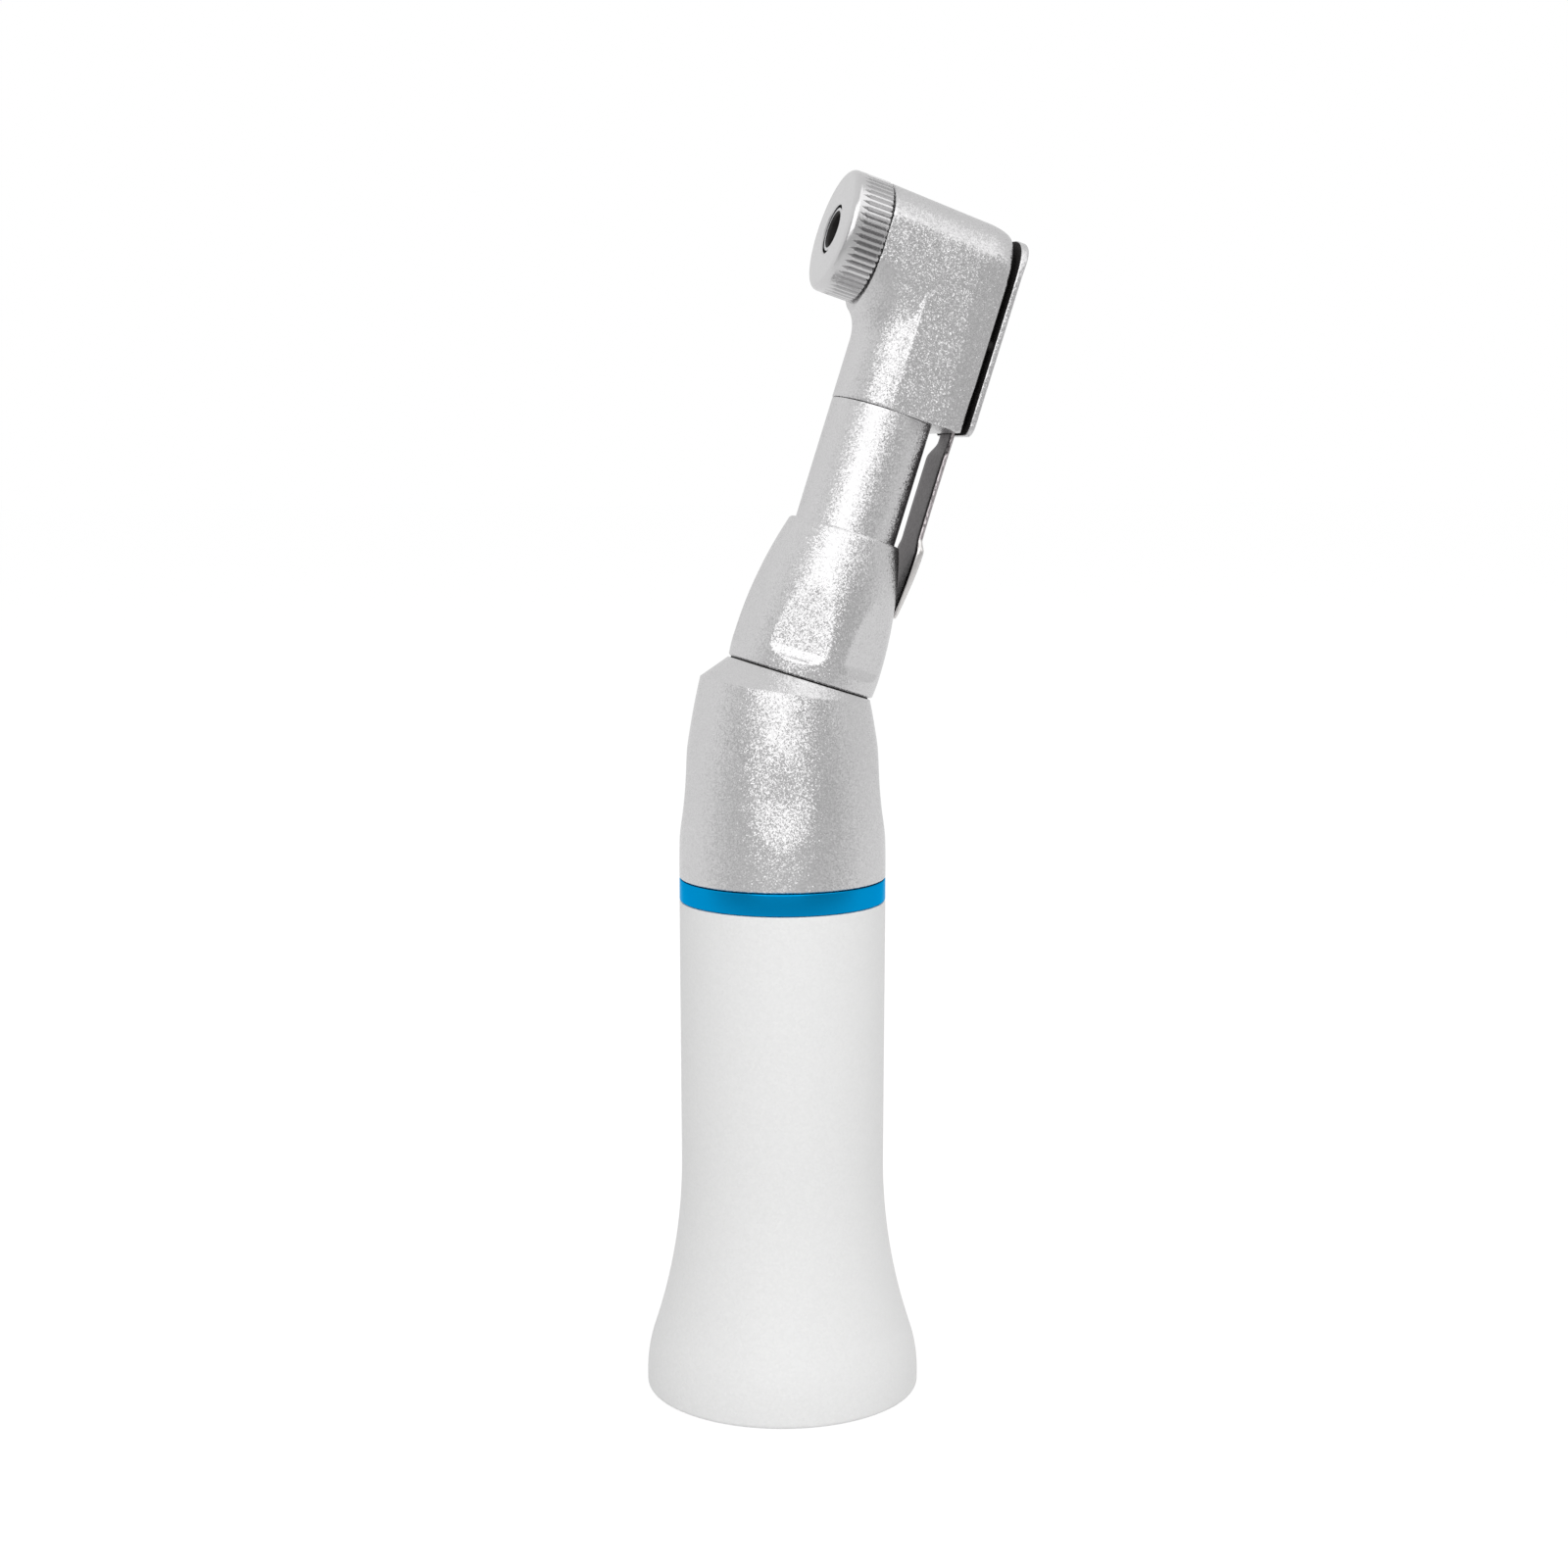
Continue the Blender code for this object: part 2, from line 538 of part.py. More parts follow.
def make_lock_ring(neck):
    """The ring that clamps the neck's flange on the housing's nose, with finger grips pressed round it."""
    bulge = LOCK_START + LOCK_BULGE_AT
    step = FLANGE_START + NECK_FLANGE + SEAM
    profile = arc(LOCK_ARC, LOCK_BULGE_RADIUS, bulge, LOCK_END) + [(LIP_RADIUS, LOCK_START)]
    profile += [(NOSE_RADIUS + SEAM, LOCK_START), (NOSE_RADIUS + SEAM, step)]
    profile += [(NECK_RADIUS + SEAM, step), (NECK_RADIUS + SEAM, LOCK_END)]
    ring = turned("lock_ring", profile, "satin", neck)
    wide = 2 * LOCK_BULGE_RADIUS * math.sin(math.pi / LOCK_GRIPS)
    far = 2 * LOCK_BULGE_RADIUS
    slope = (LOCK_GRIP_FLOOR - LOCK_GRIP_FOOT) / (LOCK_BULGE_RADIUS - LOCK_GRIP_FLAT)
    top = 2 * LOCK_LENGTH
    outline = [(LOCK_GRIP_FLAT, LOCK_GRIP_FLOOR), (far, LOCK_GRIP_FLOOR - slope * (far - LOCK_GRIP_FLAT))]
    outline += [(far, top), (LOCK_GRIP_FLAT, top)]
    for i in range(LOCK_GRIPS):
        turn = (math.pi / 2, 0, math.radians(LOCK_GRIP_FIRST) + 2 * math.pi * i / LOCK_GRIPS)
        boolean(ring, plate("grip_%d" % i, outline, wide, None, neck, (0, 0, LOCK_START), turn))


def make_head(head):
    """The head: a barrel on the bur's axis joined to a flat-sided block and the neck-like chest."""
    rounded = -BARREL_BACK + BARREL_ROUND
    profile = [(0, BARREL_FRONT), (BARREL_RADIUS, BARREL_FRONT), (BARREL_WAIST, rounded)]
    for i in range(1, ARC_POINTS + 1):
        angle = math.pi / 2 * i / ARC_POINTS
        radius = BARREL_BACK_RADIUS + (BARREL_WAIST - BARREL_BACK_RADIUS) * math.cos(angle)
        profile.append((radius, rounded - BARREL_ROUND * math.sin(angle)))
    body = turned("head_body", profile + [(0, -BARREL_BACK)], "satin", head)
    foot = BLOCK_FOOT - HEAD_AT
    deep = BARREL_BACK + BLOCK_FRONT
    size = (-foot, 2 * BLOCK_HALF_WIDTH, deep)
    boolean(body, block("head_block", size, (foot / 2, 0, BLOCK_FRONT - deep / 2), head), "UNION")
    along = (0, math.pi / 2, 0)
    chest = turned("head_chest", rod(CHEST_RADIUS, foot, 0), None, head, TURN_STEPS, (0, 0, 0), along)
    boolean(body, chest, "UNION")
    gears = rod(HEAD_CAVITY, -GEAR_CAVITY_BACK, 2 * BARREL_FRONT)
    boolean(body, turned("gear_cavity", gears, None, head))
    drum = rod(REAR_BUSH_RADIUS + SEAM, -2 * BARREL_BACK, 0)
    boolean(body, turned("drum_bore", drum, None, head, SMALL_STEPS))
    socket = [(0, 0), (HEAD_CAVITY, 0), (HEAD_CAVITY, STUB_END - HEAD_AT)]
    stub = NECK_STUB_RADIUS + SEAM
    socket += [(stub, STUB_END - HEAD_AT), (stub, 2 * foot), (0, 2 * foot)]
    boolean(body, turned("neck_bore", socket, None, head, TURN_STEPS, (0, 0, 0), along))
    for name, radius, place in pin_places():
        hole = rod(radius + SEAM, -BARREL_BACK - PIN_DEPTH - SEAM, -BARREL_BACK + PIN_DEPTH + SEAM)
        boolean(body, turned(name + "_hole", hole, None, head, PIN_STEPS, place))


def pin_places():
    """Name, radius and place of the pins that stand in the head's back, in the head frame."""
    return (
        ("latch_pivot_pin", PIVOT_RADIUS, (-PIVOT_AT, 0, 0)),
        ("upper_rivet", RIVET_RADIUS, (-UPPER_RIVET, -RIVET_SIDE, 0)),
        ("lower_rivet", RIVET_RADIUS, (-LOWER_RIVET, RIVET_SIDE, 0)),
    )


def make_chuck(head):
    """The bur drum in its bushes, its gear, and the cap that closes the head."""
    drum = [(DRUM_NOSE_RADIUS, DRUM_NOSE_AT), (DRUM_NOSE_RADIUS, BARREL_FRONT), (DRUM_RADIUS, BARREL_FRONT)]
    drum += [(DRUM_RADIUS, -BARREL_BACK + 2 * SEAM), (DRUM_BORE, -BARREL_BACK + 2 * SEAM)]
    drum += [(DRUM_BORE, DRUM_NOSE_AT - DRUM_CHAMFER), (DRUM_BORE + DRUM_CHAMFER, DRUM_NOSE_AT)]
    turned("bur_drum", drum, "steel", head, SMALL_STEPS)
    over = (math.pi, 0, 0)
    phase = math.pi + math.pi / TEETH
    bevel_gear("drum_gear", HEAD_CONE, HEAD_GEAR_REACH, HEAD_GEAR_BACK, DRUM_RADIUS + SEAM, phase, head,
               (0, 0, 0), over)
    inner = DRUM_RADIUS + RUN
    spigot = BARREL_FRONT - CAP_SPIGOT
    outer = HEAD_CAVITY - SEAM
    gear_end = gear_root(HEAD_CONE, HEAD_GEAR_REACH) + HEAD_GEAR_BACK
    front = tube(outer, inner, gear_end + SEAM, spigot - SEAM)
    turned("drum_front_bush", front, "bronze", head, SMALL_STEPS)
    rear = tube(REAR_BUSH_RADIUS, inner, -BARREL_BACK + 2 * SEAM, -GEAR_CAVITY_BACK)
    turned("drum_rear_bush", rear, "bronze", head, SMALL_STEPS)
    seat = BARREL_FRONT + SEAM
    cap = [(CAP_RADIUS - CAP_EDGE, CAP_FACE), (CAP_RADIUS, CAP_FACE - CAP_EDGE), (CAP_RADIUS, seat)]
    cap += [(outer, seat), (outer, spigot), (DRUM_RADIUS + 2 * RUN, spigot), (DRUM_RADIUS + 2 * RUN, seat)]
    cap += [(CAP_HOLE, seat + SEAM), (CAP_HOLE, CAP_FACE)]
    turned("head_cap", cap, "satin", head)


def cover_outline():
    """Tombstone outline of the latch cover: arched at the top, with rounded corners at the foot."""
    half = BLOCK_HALF_WIDTH
    foot = BLOCK_FOOT - HEAD_AT
    points = []
    for i in range(2 * ARC_POINTS + 1):
        angle = math.pi * (i / (2 * ARC_POINTS) - 0.5)
        points.append((COVER_TOP * math.cos(angle), half * math.sin(angle)))
    for side, start in ((1, 90), (-1, 180)):
        for i in range(4):
            angle = math.radians(start + 30 * i)
            x = foot + COVER_CORNER + COVER_CORNER * math.cos(angle)
            points.append((x, side * (half - COVER_CORNER) + COVER_CORNER * math.sin(angle)))
    return points


def make_latch(head):
    """The cover over the latch slot, its pins, and the lever that swings in the slot."""
    behind = (0, 0, -COVER_START - COVER_THICKNESS / 2)
    cover = plate("latch_cover", cover_outline(), COVER_THICKNESS - SEAM, "satin", head, behind)
    for name, radius, place in pin_places():
        hole = rod(radius + SEAM, -2 * BACK_GAP, 0)
        boolean(cover, turned(name + "_clear", hole, None, head, PIN_STEPS, place))
        pin = rod(radius, -BACK_GAP, -BARREL_BACK + PIN_DEPTH)
        turned(name, pin, "steel", head, PIN_STEPS, place)

    pivot = frame("latch_axis", (-PIVOT_AT, 0, -LEVER_MIDDLE), (0, 0, 0), head)
    top = PIVOT_AT + BLADE_TOP - BLADE_HALF_WIDTH
    foot = BLOCK_FOOT - HEAD_AT + PIVOT_AT
    blade = []
    for i in range(2 * ARC_POINTS + 1):
        angle = math.pi * (i / (2 * ARC_POINTS) - 0.5)
        blade.append((top + BLADE_HALF_WIDTH * math.cos(angle), BLADE_HALF_WIDTH * math.sin(angle)))
    swing = math.radians(LATCH_SWING)
    tail_top = (foot - STRIP_HALF_WIDTH * math.sin(swing)) / math.cos(swing) - 2 * SEAM
    blade_foot = tail_top - TAIL_OVERLAP
    blade += [(blade_foot, BLADE_HALF_WIDTH), (blade_foot, -BLADE_HALF_WIDTH)]
    lever = plate("latch_lever", blade, LEVER_THICKNESS, "dark", pivot)

    fall = BLOCK_FOOT - TIP_AT
    tilt = math.atan2(TIP_STAND_OFF - TAIL_STAND_OFF, fall)
    length = math.hypot(TIP_STAND_OFF - TAIL_STAND_OFF, fall)
    tail = [(tail_top - foot, STRIP_HALF_WIDTH)]
    shoulder = LEAF_LENGTH - length
    for i in range(2 * ARC_POINTS + 1):
        share = i / (2 * ARC_POINTS)
        swell = math.sin(math.pi * share ** 0.7)
        half = STRIP_HALF_WIDTH * (1 - share ** 3) + (LEAF_HALF_WIDTH - STRIP_HALF_WIDTH) * swell
        tail.append((shoulder - LEAF_LENGTH * share, half))
    tail += [(x, -y) for x, y in reversed(tail[:-1])]
    place = (foot, 0, LEVER_MIDDLE - TAIL_STAND_OFF)
    stock = plate("lever_tail", tail, LEVER_THICKNESS, None, pivot, place, (0, -tilt, 0))
    boolean(lever, stock, "UNION")
    boolean(lever, turned("pivot_clear", rod(PIVOT_RADIUS + RUN, -SLOT, SLOT), None, pivot, PIN_STEPS))


def main():
    """Build every piece, frame by frame."""
    neck = frame("neck_axis", (0, 0, BEND_HEIGHT), (0, BEND, 0))
    head = frame("bur_axis", (0, 0, HEAD_AT), (0, -math.pi / 2, 0), neck)
    make_handle()
    make_housing(neck)
    make_rear_bearings()
    make_rear_drive()
    make_neck(neck)
    make_lock_ring(neck)
    make_head(head)
    make_chuck(head)
    make_latch(head)


main()
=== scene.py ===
"""Looks of a prophy contra-angle handpiece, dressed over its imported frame.

Each sub-assembly is a class that works its surfaces out with numpy, in millimetres on its own
axis, and dresses them. The handle's axis is the frame's z. The axes of the neck and of the bur come
from the frame's joints, so every piece sits where the frame puts it.
"""
import json
import logging
import math
from dataclasses import dataclass
from enum import Enum
from typing import Any, Callable, Dict, List, Optional, Sequence, Tuple

import bpy
import numpy as np
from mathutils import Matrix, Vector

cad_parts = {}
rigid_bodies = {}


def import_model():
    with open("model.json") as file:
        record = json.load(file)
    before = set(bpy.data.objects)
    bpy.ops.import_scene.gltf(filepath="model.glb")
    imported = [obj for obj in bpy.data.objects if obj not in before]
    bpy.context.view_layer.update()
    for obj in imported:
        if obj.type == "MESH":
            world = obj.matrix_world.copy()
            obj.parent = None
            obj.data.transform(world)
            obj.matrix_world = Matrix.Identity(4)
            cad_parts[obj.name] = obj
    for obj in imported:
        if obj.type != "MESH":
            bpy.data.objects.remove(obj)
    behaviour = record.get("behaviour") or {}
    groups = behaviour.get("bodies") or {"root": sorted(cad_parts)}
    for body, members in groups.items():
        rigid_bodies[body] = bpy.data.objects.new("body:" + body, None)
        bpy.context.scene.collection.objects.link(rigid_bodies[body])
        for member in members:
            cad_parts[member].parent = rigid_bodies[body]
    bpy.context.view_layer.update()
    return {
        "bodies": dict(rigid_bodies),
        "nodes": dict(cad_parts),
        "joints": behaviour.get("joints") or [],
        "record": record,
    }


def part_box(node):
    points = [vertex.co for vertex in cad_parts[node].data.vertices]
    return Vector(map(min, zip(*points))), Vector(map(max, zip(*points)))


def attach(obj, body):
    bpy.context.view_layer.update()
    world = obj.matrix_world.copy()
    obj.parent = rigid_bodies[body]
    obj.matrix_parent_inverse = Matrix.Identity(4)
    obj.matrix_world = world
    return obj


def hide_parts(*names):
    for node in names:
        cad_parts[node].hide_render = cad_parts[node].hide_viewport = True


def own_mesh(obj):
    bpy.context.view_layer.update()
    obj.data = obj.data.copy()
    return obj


LOG = logging.getLogger("prophy_angle")
MM = 0.001
PHOTO_PIXELS = 1600
SENSOR_MM = 36.0
SEAM_STEP = 0.1
CLOUD_GRAINS = 40
CLOUD_DETAIL = 3.0
HALVINGS = 40
EXPONENT_LIMIT = 60.0
Relief = Callable[[np.ndarray, np.ndarray, np.ndarray], np.ndarray]
Pick = Callable[[np.ndarray, np.ndarray], np.ndarray]
Spots = Callable[[np.ndarray], np.ndarray]


class Body(Enum):
    """Bodies of the frame that the pieces ride on."""

    HOUSING = "housing"
    LOCK_RING = "lock_ring"
    REAR_SHAFT = "rear_shaft"
    BUR_DRUM = "bur_drum"
    LATCH = "latch"


class Slot(Enum):
    """Material slots of the record."""

    WHITE = "white_sheath"
    BLUE = "blue_ring"
    SATIN = "satin_metal"
    STEEL = "plain_steel"
    BRONZE = "bush_bronze"
    LATCH = "latch_steel"


@dataclass(frozen=True)
class Axis:
    """A local frame in millimetres: z runs along the axis, y is level, and x is square to both."""

    origin: np.ndarray
    along: np.ndarray

    @property
    def across(self) -> np.ndarray:
        """Local x, square to the axis in the plane of symmetry."""
        return np.cross((0.0, 1.0, 0.0), self.along)

    def place(self, points: np.ndarray) -> np.ndarray:
        """Carry local points in millimetres to the world in metres.

        Args:
            points: Array whose last axis holds local x, y and z.

        Returns:
            Points of the same shape, in metres.
        """
        turn = np.stack([self.across, (0.0, 1.0, 0.0), self.along])
        return self.origin + points @ turn * MM

    def local(self, points: np.ndarray) -> np.ndarray:
        """Bring world points in metres to local millimetres."""
        turn = np.stack([self.across, (0.0, 1.0, 0.0), self.along])
        return (points - self.origin) @ turn.T / MM


def joint_axis(frame: Dict[str, Any], name: str) -> Axis:
    """Read the axis of one of the frame's joints.

    Args:
        name: The joint's name.

    Returns:
        The axis through the joint's point.
    """
    for joint in frame["joints"]:
        if joint["name"] == name:
            along = np.array(joint["axis"], float)
            return Axis(np.array(joint["pos_m"], float), along / np.linalg.norm(along))
    raise KeyError(name)


def in_mm(box: Sequence[Sequence[float]]) -> Tuple[np.ndarray, np.ndarray]:
    """Lowest and highest corner of a box that is given in metres, in millimetres."""
    low, high = box
    return np.array(low) / MM, np.array(high) / MM


def grey(level: float) -> Tuple[float, float, float, float]:
    """A grey of the given level, with the fourth value that Blender's colours have."""
    return level, level, level, 1.0


def add_node(tree: bpy.types.NodeTree, kind: str, inputs: Dict[Any, Any],
             **settings: Any) -> bpy.types.Node:
    """Add a shader node to a tree.

    Args:
        tree: Node tree of a material or of the world.
        kind: Blender's name of the node, without the ShaderNode that it starts with.
        inputs: What goes into each input: a socket is linked, and any other value is set.
        settings: Properties of the node, such as its operation.

    Returns:
        The new node.
    """
    node = tree.nodes.new("ShaderNode" + kind)
    for name, value in settings.items():
        setattr(node, name, value)
    for name, value in inputs.items():
        if isinstance(value, bpy.types.NodeSocket):
            tree.links.new(value, node.inputs[name])
        else:
            node.inputs[name].default_value = value
    return node


@dataclass(frozen=True)
class Grain:
    """Grain of a surface: its size in millimetres, and how far each grain leans and darkens."""

    size: float
    lean: float
    mottle: float


@dataclass(frozen=True)
class Finish:
    """A surface finish, made as a procedural material on Object coordinates."""

    name: str
    color: Tuple[float, float, float]
    roughness: float
    metallic: float
    grain: Grain
    cloud: float = 0.05
    edge_tint: Tuple[float, float, float] = (1.0, 1.0, 1.0)

    def build(self) -> bpy.types.Material:
        """Make the material.

        Every grain is a random cell that leans its own way and has its own shade, so it sparkles
        where a lamp is mirrored and stays quiet elsewhere. A broad noise lets the gloss wander.

        Returns:
            The new material.
        """
        made = bpy.data.materials.new(self.name)
        made.use_nodes = True
        tree = made.node_tree
        where = tree.nodes.new("ShaderNodeTexCoord").outputs["Object"]
        cells = add_node(tree, "TexVoronoi", {
            "Vector": where, "Scale": 1.0 / (self.grain.size * MM)})
        chance = cells.outputs["Color"]
        tint = add_node(tree, "MapRange", {
            "Value": chance, "To Min": 1.0 - self.grain.mottle, "To Max": 1.0})
        shade = add_node(tree, "VectorMath", {
            0: self.color, "Scale": tint.outputs["Result"]}, operation="SCALE")
        cloud = add_node(tree, "TexNoise", {
            "Vector": where, "Scale": 1.0 / (CLOUD_GRAINS * self.grain.size * MM),
            "Detail": CLOUD_DETAIL})
        gloss = add_node(tree, "MapRange", {
            "Value": cloud.outputs["Fac"], "To Min": self.roughness - self.cloud,
            "To Max": self.roughness + self.cloud})
        shader = tree.nodes["Principled BSDF"]
        shader.inputs["Metallic"].default_value = self.metallic
        shader.inputs["Specular Tint"].default_value = (*self.edge_tint, 1.0)
        tree.links.new(shade.outputs["Vector"], shader.inputs["Base Color"])
        tree.links.new(gloss.outputs["Result"], shader.inputs["Roughness"])
        tree.links.new(self.leaning(tree, chance), shader.inputs["Normal"])
        return made

    def leaning(self, tree: bpy.types.NodeTree,
                chance: bpy.types.NodeSocket) -> bpy.types.NodeSocket:
        """Lean the surface's normal by a random amount for each grain.

        Args:
            tree: Node tree of the material.
            chance: Random colour of each grain.

        Returns:
            The leaning normal's socket.
        """
        centred = add_node(tree, "VectorMath", {
            0: chance, 1: (self.grain.lean,) * 3, 2: (-self.grain.lean / 2,) * 3},
            operation="MULTIPLY_ADD")
        normal = tree.nodes.new("ShaderNodeNewGeometry").outputs["Normal"]
        total = add_node(tree, "VectorMath", {0: centred.outputs["Vector"], 1: normal})
        unit = add_node(tree, "VectorMath", {0: total.outputs["Vector"]}, operation="NORMALIZE")
        return unit.outputs["Vector"]


BLUE_EDGE = (0.25, 0.75, 1.0)
FINISHES: Dict[Slot, Finish] = {
    Slot.WHITE: Finish("white coat", (0.84, 0.84, 0.838), 0.50, 0.0, Grain(0.18, 0.10, 0.05)),
    Slot.BLUE: Finish("blue anodised", (0.0008, 0.272, 0.60), 0.26, 1.0, Grain(0.15, 0.01, 0.03),
                      0.03, BLUE_EDGE),
    Slot.SATIN: Finish("blasted satin", (0.67, 0.665, 0.67), 0.32, 1.0, Grain(0.082, 0.34, 0.15)),
    Slot.STEEL: Finish("ground steel", (0.60, 0.60, 0.61), 0.26, 1.0, Grain(0.10, 0.05, 0.10)),
    Slot.BRONZE: Finish("bush bronze", (0.60, 0.42, 0.20), 0.36, 1.0, Grain(0.12, 0.05, 0.15)),
    Slot.LATCH: Finish("spring steel", (0.053, 0.044, 0.047), 0.34, 1.0, Grain(0.12, 0.05, 0.20)),
}
# Near-black painted shade, put on bores, slots and gaps where only shade falls.
PAINTED_SHADE = Finish("painted shade", (0.010, 0.008, 0.008), 0.7, 0.0, Grain(0.1, 0.05, 0.2))
# Bright metal for the leaf's narrow sides: a painted highlight.
LEAF_HIGHLIGHT = Finish("painted leaf highlight", (0.70, 0.68, 0.67), 0.24, 1.0, Grain(0.15, 0.10, 0.08))
# Lighter metal for the lever's narrow sides: a painted sheen where light catches them.
EDGE_SHEEN = Finish("painted edge sheen", (0.52, 0.48, 0.49), 0.30, 1.0, Grain(0.25, 0.35, 0.35))
FINE = Finish("fine satin", (0.62, 0.615, 0.62), 0.23, 1.0, Grain(0.06, 0.08, 0.08))


class Dresser:
    def __init__(self) -> None:
        """Make every finish once."""
        self.materials = {slot: finish.build() for slot, finish in FINISHES.items()}
        self.painted_shade = PAINTED_SHADE.build()
        self.leaf_highlight = LEAF_HIGHLIGHT.build()
        self.edge_sheen = EDGE_SHEEN.build()
        self.fine = FINE.build()

    def piece(self, name: str, points: np.ndarray, faces: np.ndarray, body: Body, slot: Slot,
              nodes: Sequence[str], sharp_deg: float = 32.0) -> bpy.types.Object:
        """Args:
            name: Name of the piece.
            points: World points in metres, one row each.
            faces: Corner indices, one row of three or four a face.
            body: Body that the piece rides on.
            slot: Material slot that its finish comes from.
            nodes: Frame nodes that it stands for.
            sharp_deg: Angle from which an edge is shaded sharp.

        Returns:
            The new object.
        """
        mesh = bpy.data.meshes.new(name)
        mesh.from_pydata(points.tolist(), [], faces.tolist())
        mesh.validate()
        mesh.shade_smooth()
        mesh.set_sharp_from_angle(angle=math.radians(sharp_deg))
        mesh.materials.append(self.materials[slot])
        made = bpy.data.objects.new(name, mesh)
        bpy.context.scene.collection.objects.link(made)
        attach(made, body.value)
        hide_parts(*nodes)
        LOG.info("%s: %d faces on %s", name, len(faces), body.value)
        return made

    @staticmethod
    def further_finish(piece: bpy.types.Object, material: bpy.types.Material, pick: Pick) -> None:
        """Give the faces that the rule picks a further material.

        Args:
            piece: The mesh object.
            material: Material of the picked faces.
            pick: Rule on the faces' world centres and normals, true where the material goes.
        """
        piece.data.materials.append(material)
        count = len(piece.data.polygons)
        centre = np.zeros(count * 3)
        normal = np.zeros(count * 3)
        piece.data.polygons.foreach_get("center", centre)
        piece.data.polygons.foreach_get("normal", normal)
        index = np.zeros(count, np.int32)
        piece.data.polygons.foreach_get("material_index", index)
        chosen = pick(centre.reshape(-1, 3), normal.reshape(-1, 3))
        index[chosen] = len(piece.data.materials) - 1
        piece.data.polygons.foreach_set("material_index", index)

    def dress_nodes(self, frame: Dict[str, Any]) -> None:
        """Give every frame node that still shows the finish of its own slot."""
        slots = {part["node"]: Slot(part["material_slot"]) for part in frame["record"]["subparts"]}
        for name, node in frame["nodes"].items():
            node.data.materials.clear()
            node.data.materials.append(self.materials[slots[name]])


def rounded(points: Sequence[Tuple[float, float]], radius: float, steps: int = 4) -> np.ndarray:
    """Round the inner corners of an open outline.

    Each corner becomes a quadratic curve between two points that lie one radius away from it along
    its two sides, or half a side away where the side is short.

    Args:
        points: Corners of the outline, as (radius, height).
        radius: How far from the corner the rounding starts.
        steps: Segments of each rounding.

    Returns:
        Outline points, one row each.
    """
    corners = np.array(points, float)
    share = np.linspace(0.0, 1.0, steps + 1)[:, None]
    parts = [corners[:1]]
    for before, corner, after in zip(corners[:-2], corners[1:-1], corners[2:]):
        ends = []
        for other in (before, after):
            side = other - corner
            length = np.linalg.norm(side)
            ends.append(corner + side / length * min(radius, length / 2))
        curve = (1 - share) ** 2 * ends[0] + 2 * share * (1 - share) * corner + share ** 2 * ends[1]
        parts.append(curve)
    parts.append(corners[-1:])
    return np.concatenate(parts)


def grid_faces(rows: int, columns: int, closed: bool) -> np.ndarray:
    """Corner indices of a grid that wraps round its columns, and round its rows too when closed.

    Args:
        rows: Points along the profile.
        columns: Points round the axis.
        closed: Whether the last row joins the first.

    Returns:
        One row of four indices a face.
    """
    row = np.arange(rows if closed else rows - 1)[:, None]
    column = np.arange(columns)[None, :]
    below = (row + 1) % rows
    beside = (column + 1) % columns
    corners = [row * columns + column, below * columns + column,
               below * columns + beside, row * columns + beside]
    return np.stack(corners, axis=-1).reshape(-1, 4)


def capped_tube(rings: np.ndarray, flipped: bool = False) -> Tuple[np.ndarray, np.ndarray]:
    """Skin a stack of closed rings, and close each end by a fan to the mean point of its ring.

    Args:
        rings: Points as an array of ring, place round the ring, and coordinate.
        flipped: Whether the faces are turned over.

    Returns:
        Points and triangles.
    """
    rows, columns = rings.shape[:2]
    points = np.concatenate([rings.reshape(-1, 3), rings[[0, -1]].mean(axis=1)])
    ring = np.arange(columns)
    beside = (ring + 1) % columns
    last = (rows - 1) * columns
    centre = np.full(columns, rows * columns)
    quads = grid_faces(rows, columns, False)
    start = np.stack([centre, ring, beside], axis=-1)
    end = np.stack([centre + 1, last + beside, last + ring], axis=-1)
    if flipped:
        quads, start, end = (corners[:, ::-1] for corners in (quads, start, end))
    return points, np.concatenate([quads[:, [0, 1, 2]], quads[:, [0, 2, 3]], start, end])


def turned(profile: np.ndarray, segments: int,
           relief: Optional[Relief] = None) -> Tuple[np.ndarray, np.ndarray]:
    """Turn a closed profile about local z: x = r cos a, y = r sin a, with r shifted by the relief.

    Args:
        profile: Points of (radius, height), running down the outer side.
        segments: Points round the axis.
        relief: Shift of the radius as a function of angle, radius and height.

    Returns:
        Local points and faces.
    """
    angle = np.linspace(0.0, 2 * np.pi, segments, endpoint=False)[None, :]
    radius = np.broadcast_to(profile[:, :1], (len(profile), segments))
    height = np.broadcast_to(profile[:, 1:], radius.shape)
    if relief is not None:
        radius = radius + relief(angle, radius, height)
    points = np.stack([radius * np.cos(angle), radius * np.sin(angle), height], axis=-1)
    return points.reshape(-1, 3), grid_faces(len(profile), segments, True)


def smooth_step(value: np.ndarray) -> np.ndarray:
    """The cubic 3t^2 - 2t^3 of the value held between 0 and 1."""
    held = np.clip(value, 0.0, 1.0)
    return held * held * (3 - 2 * held)


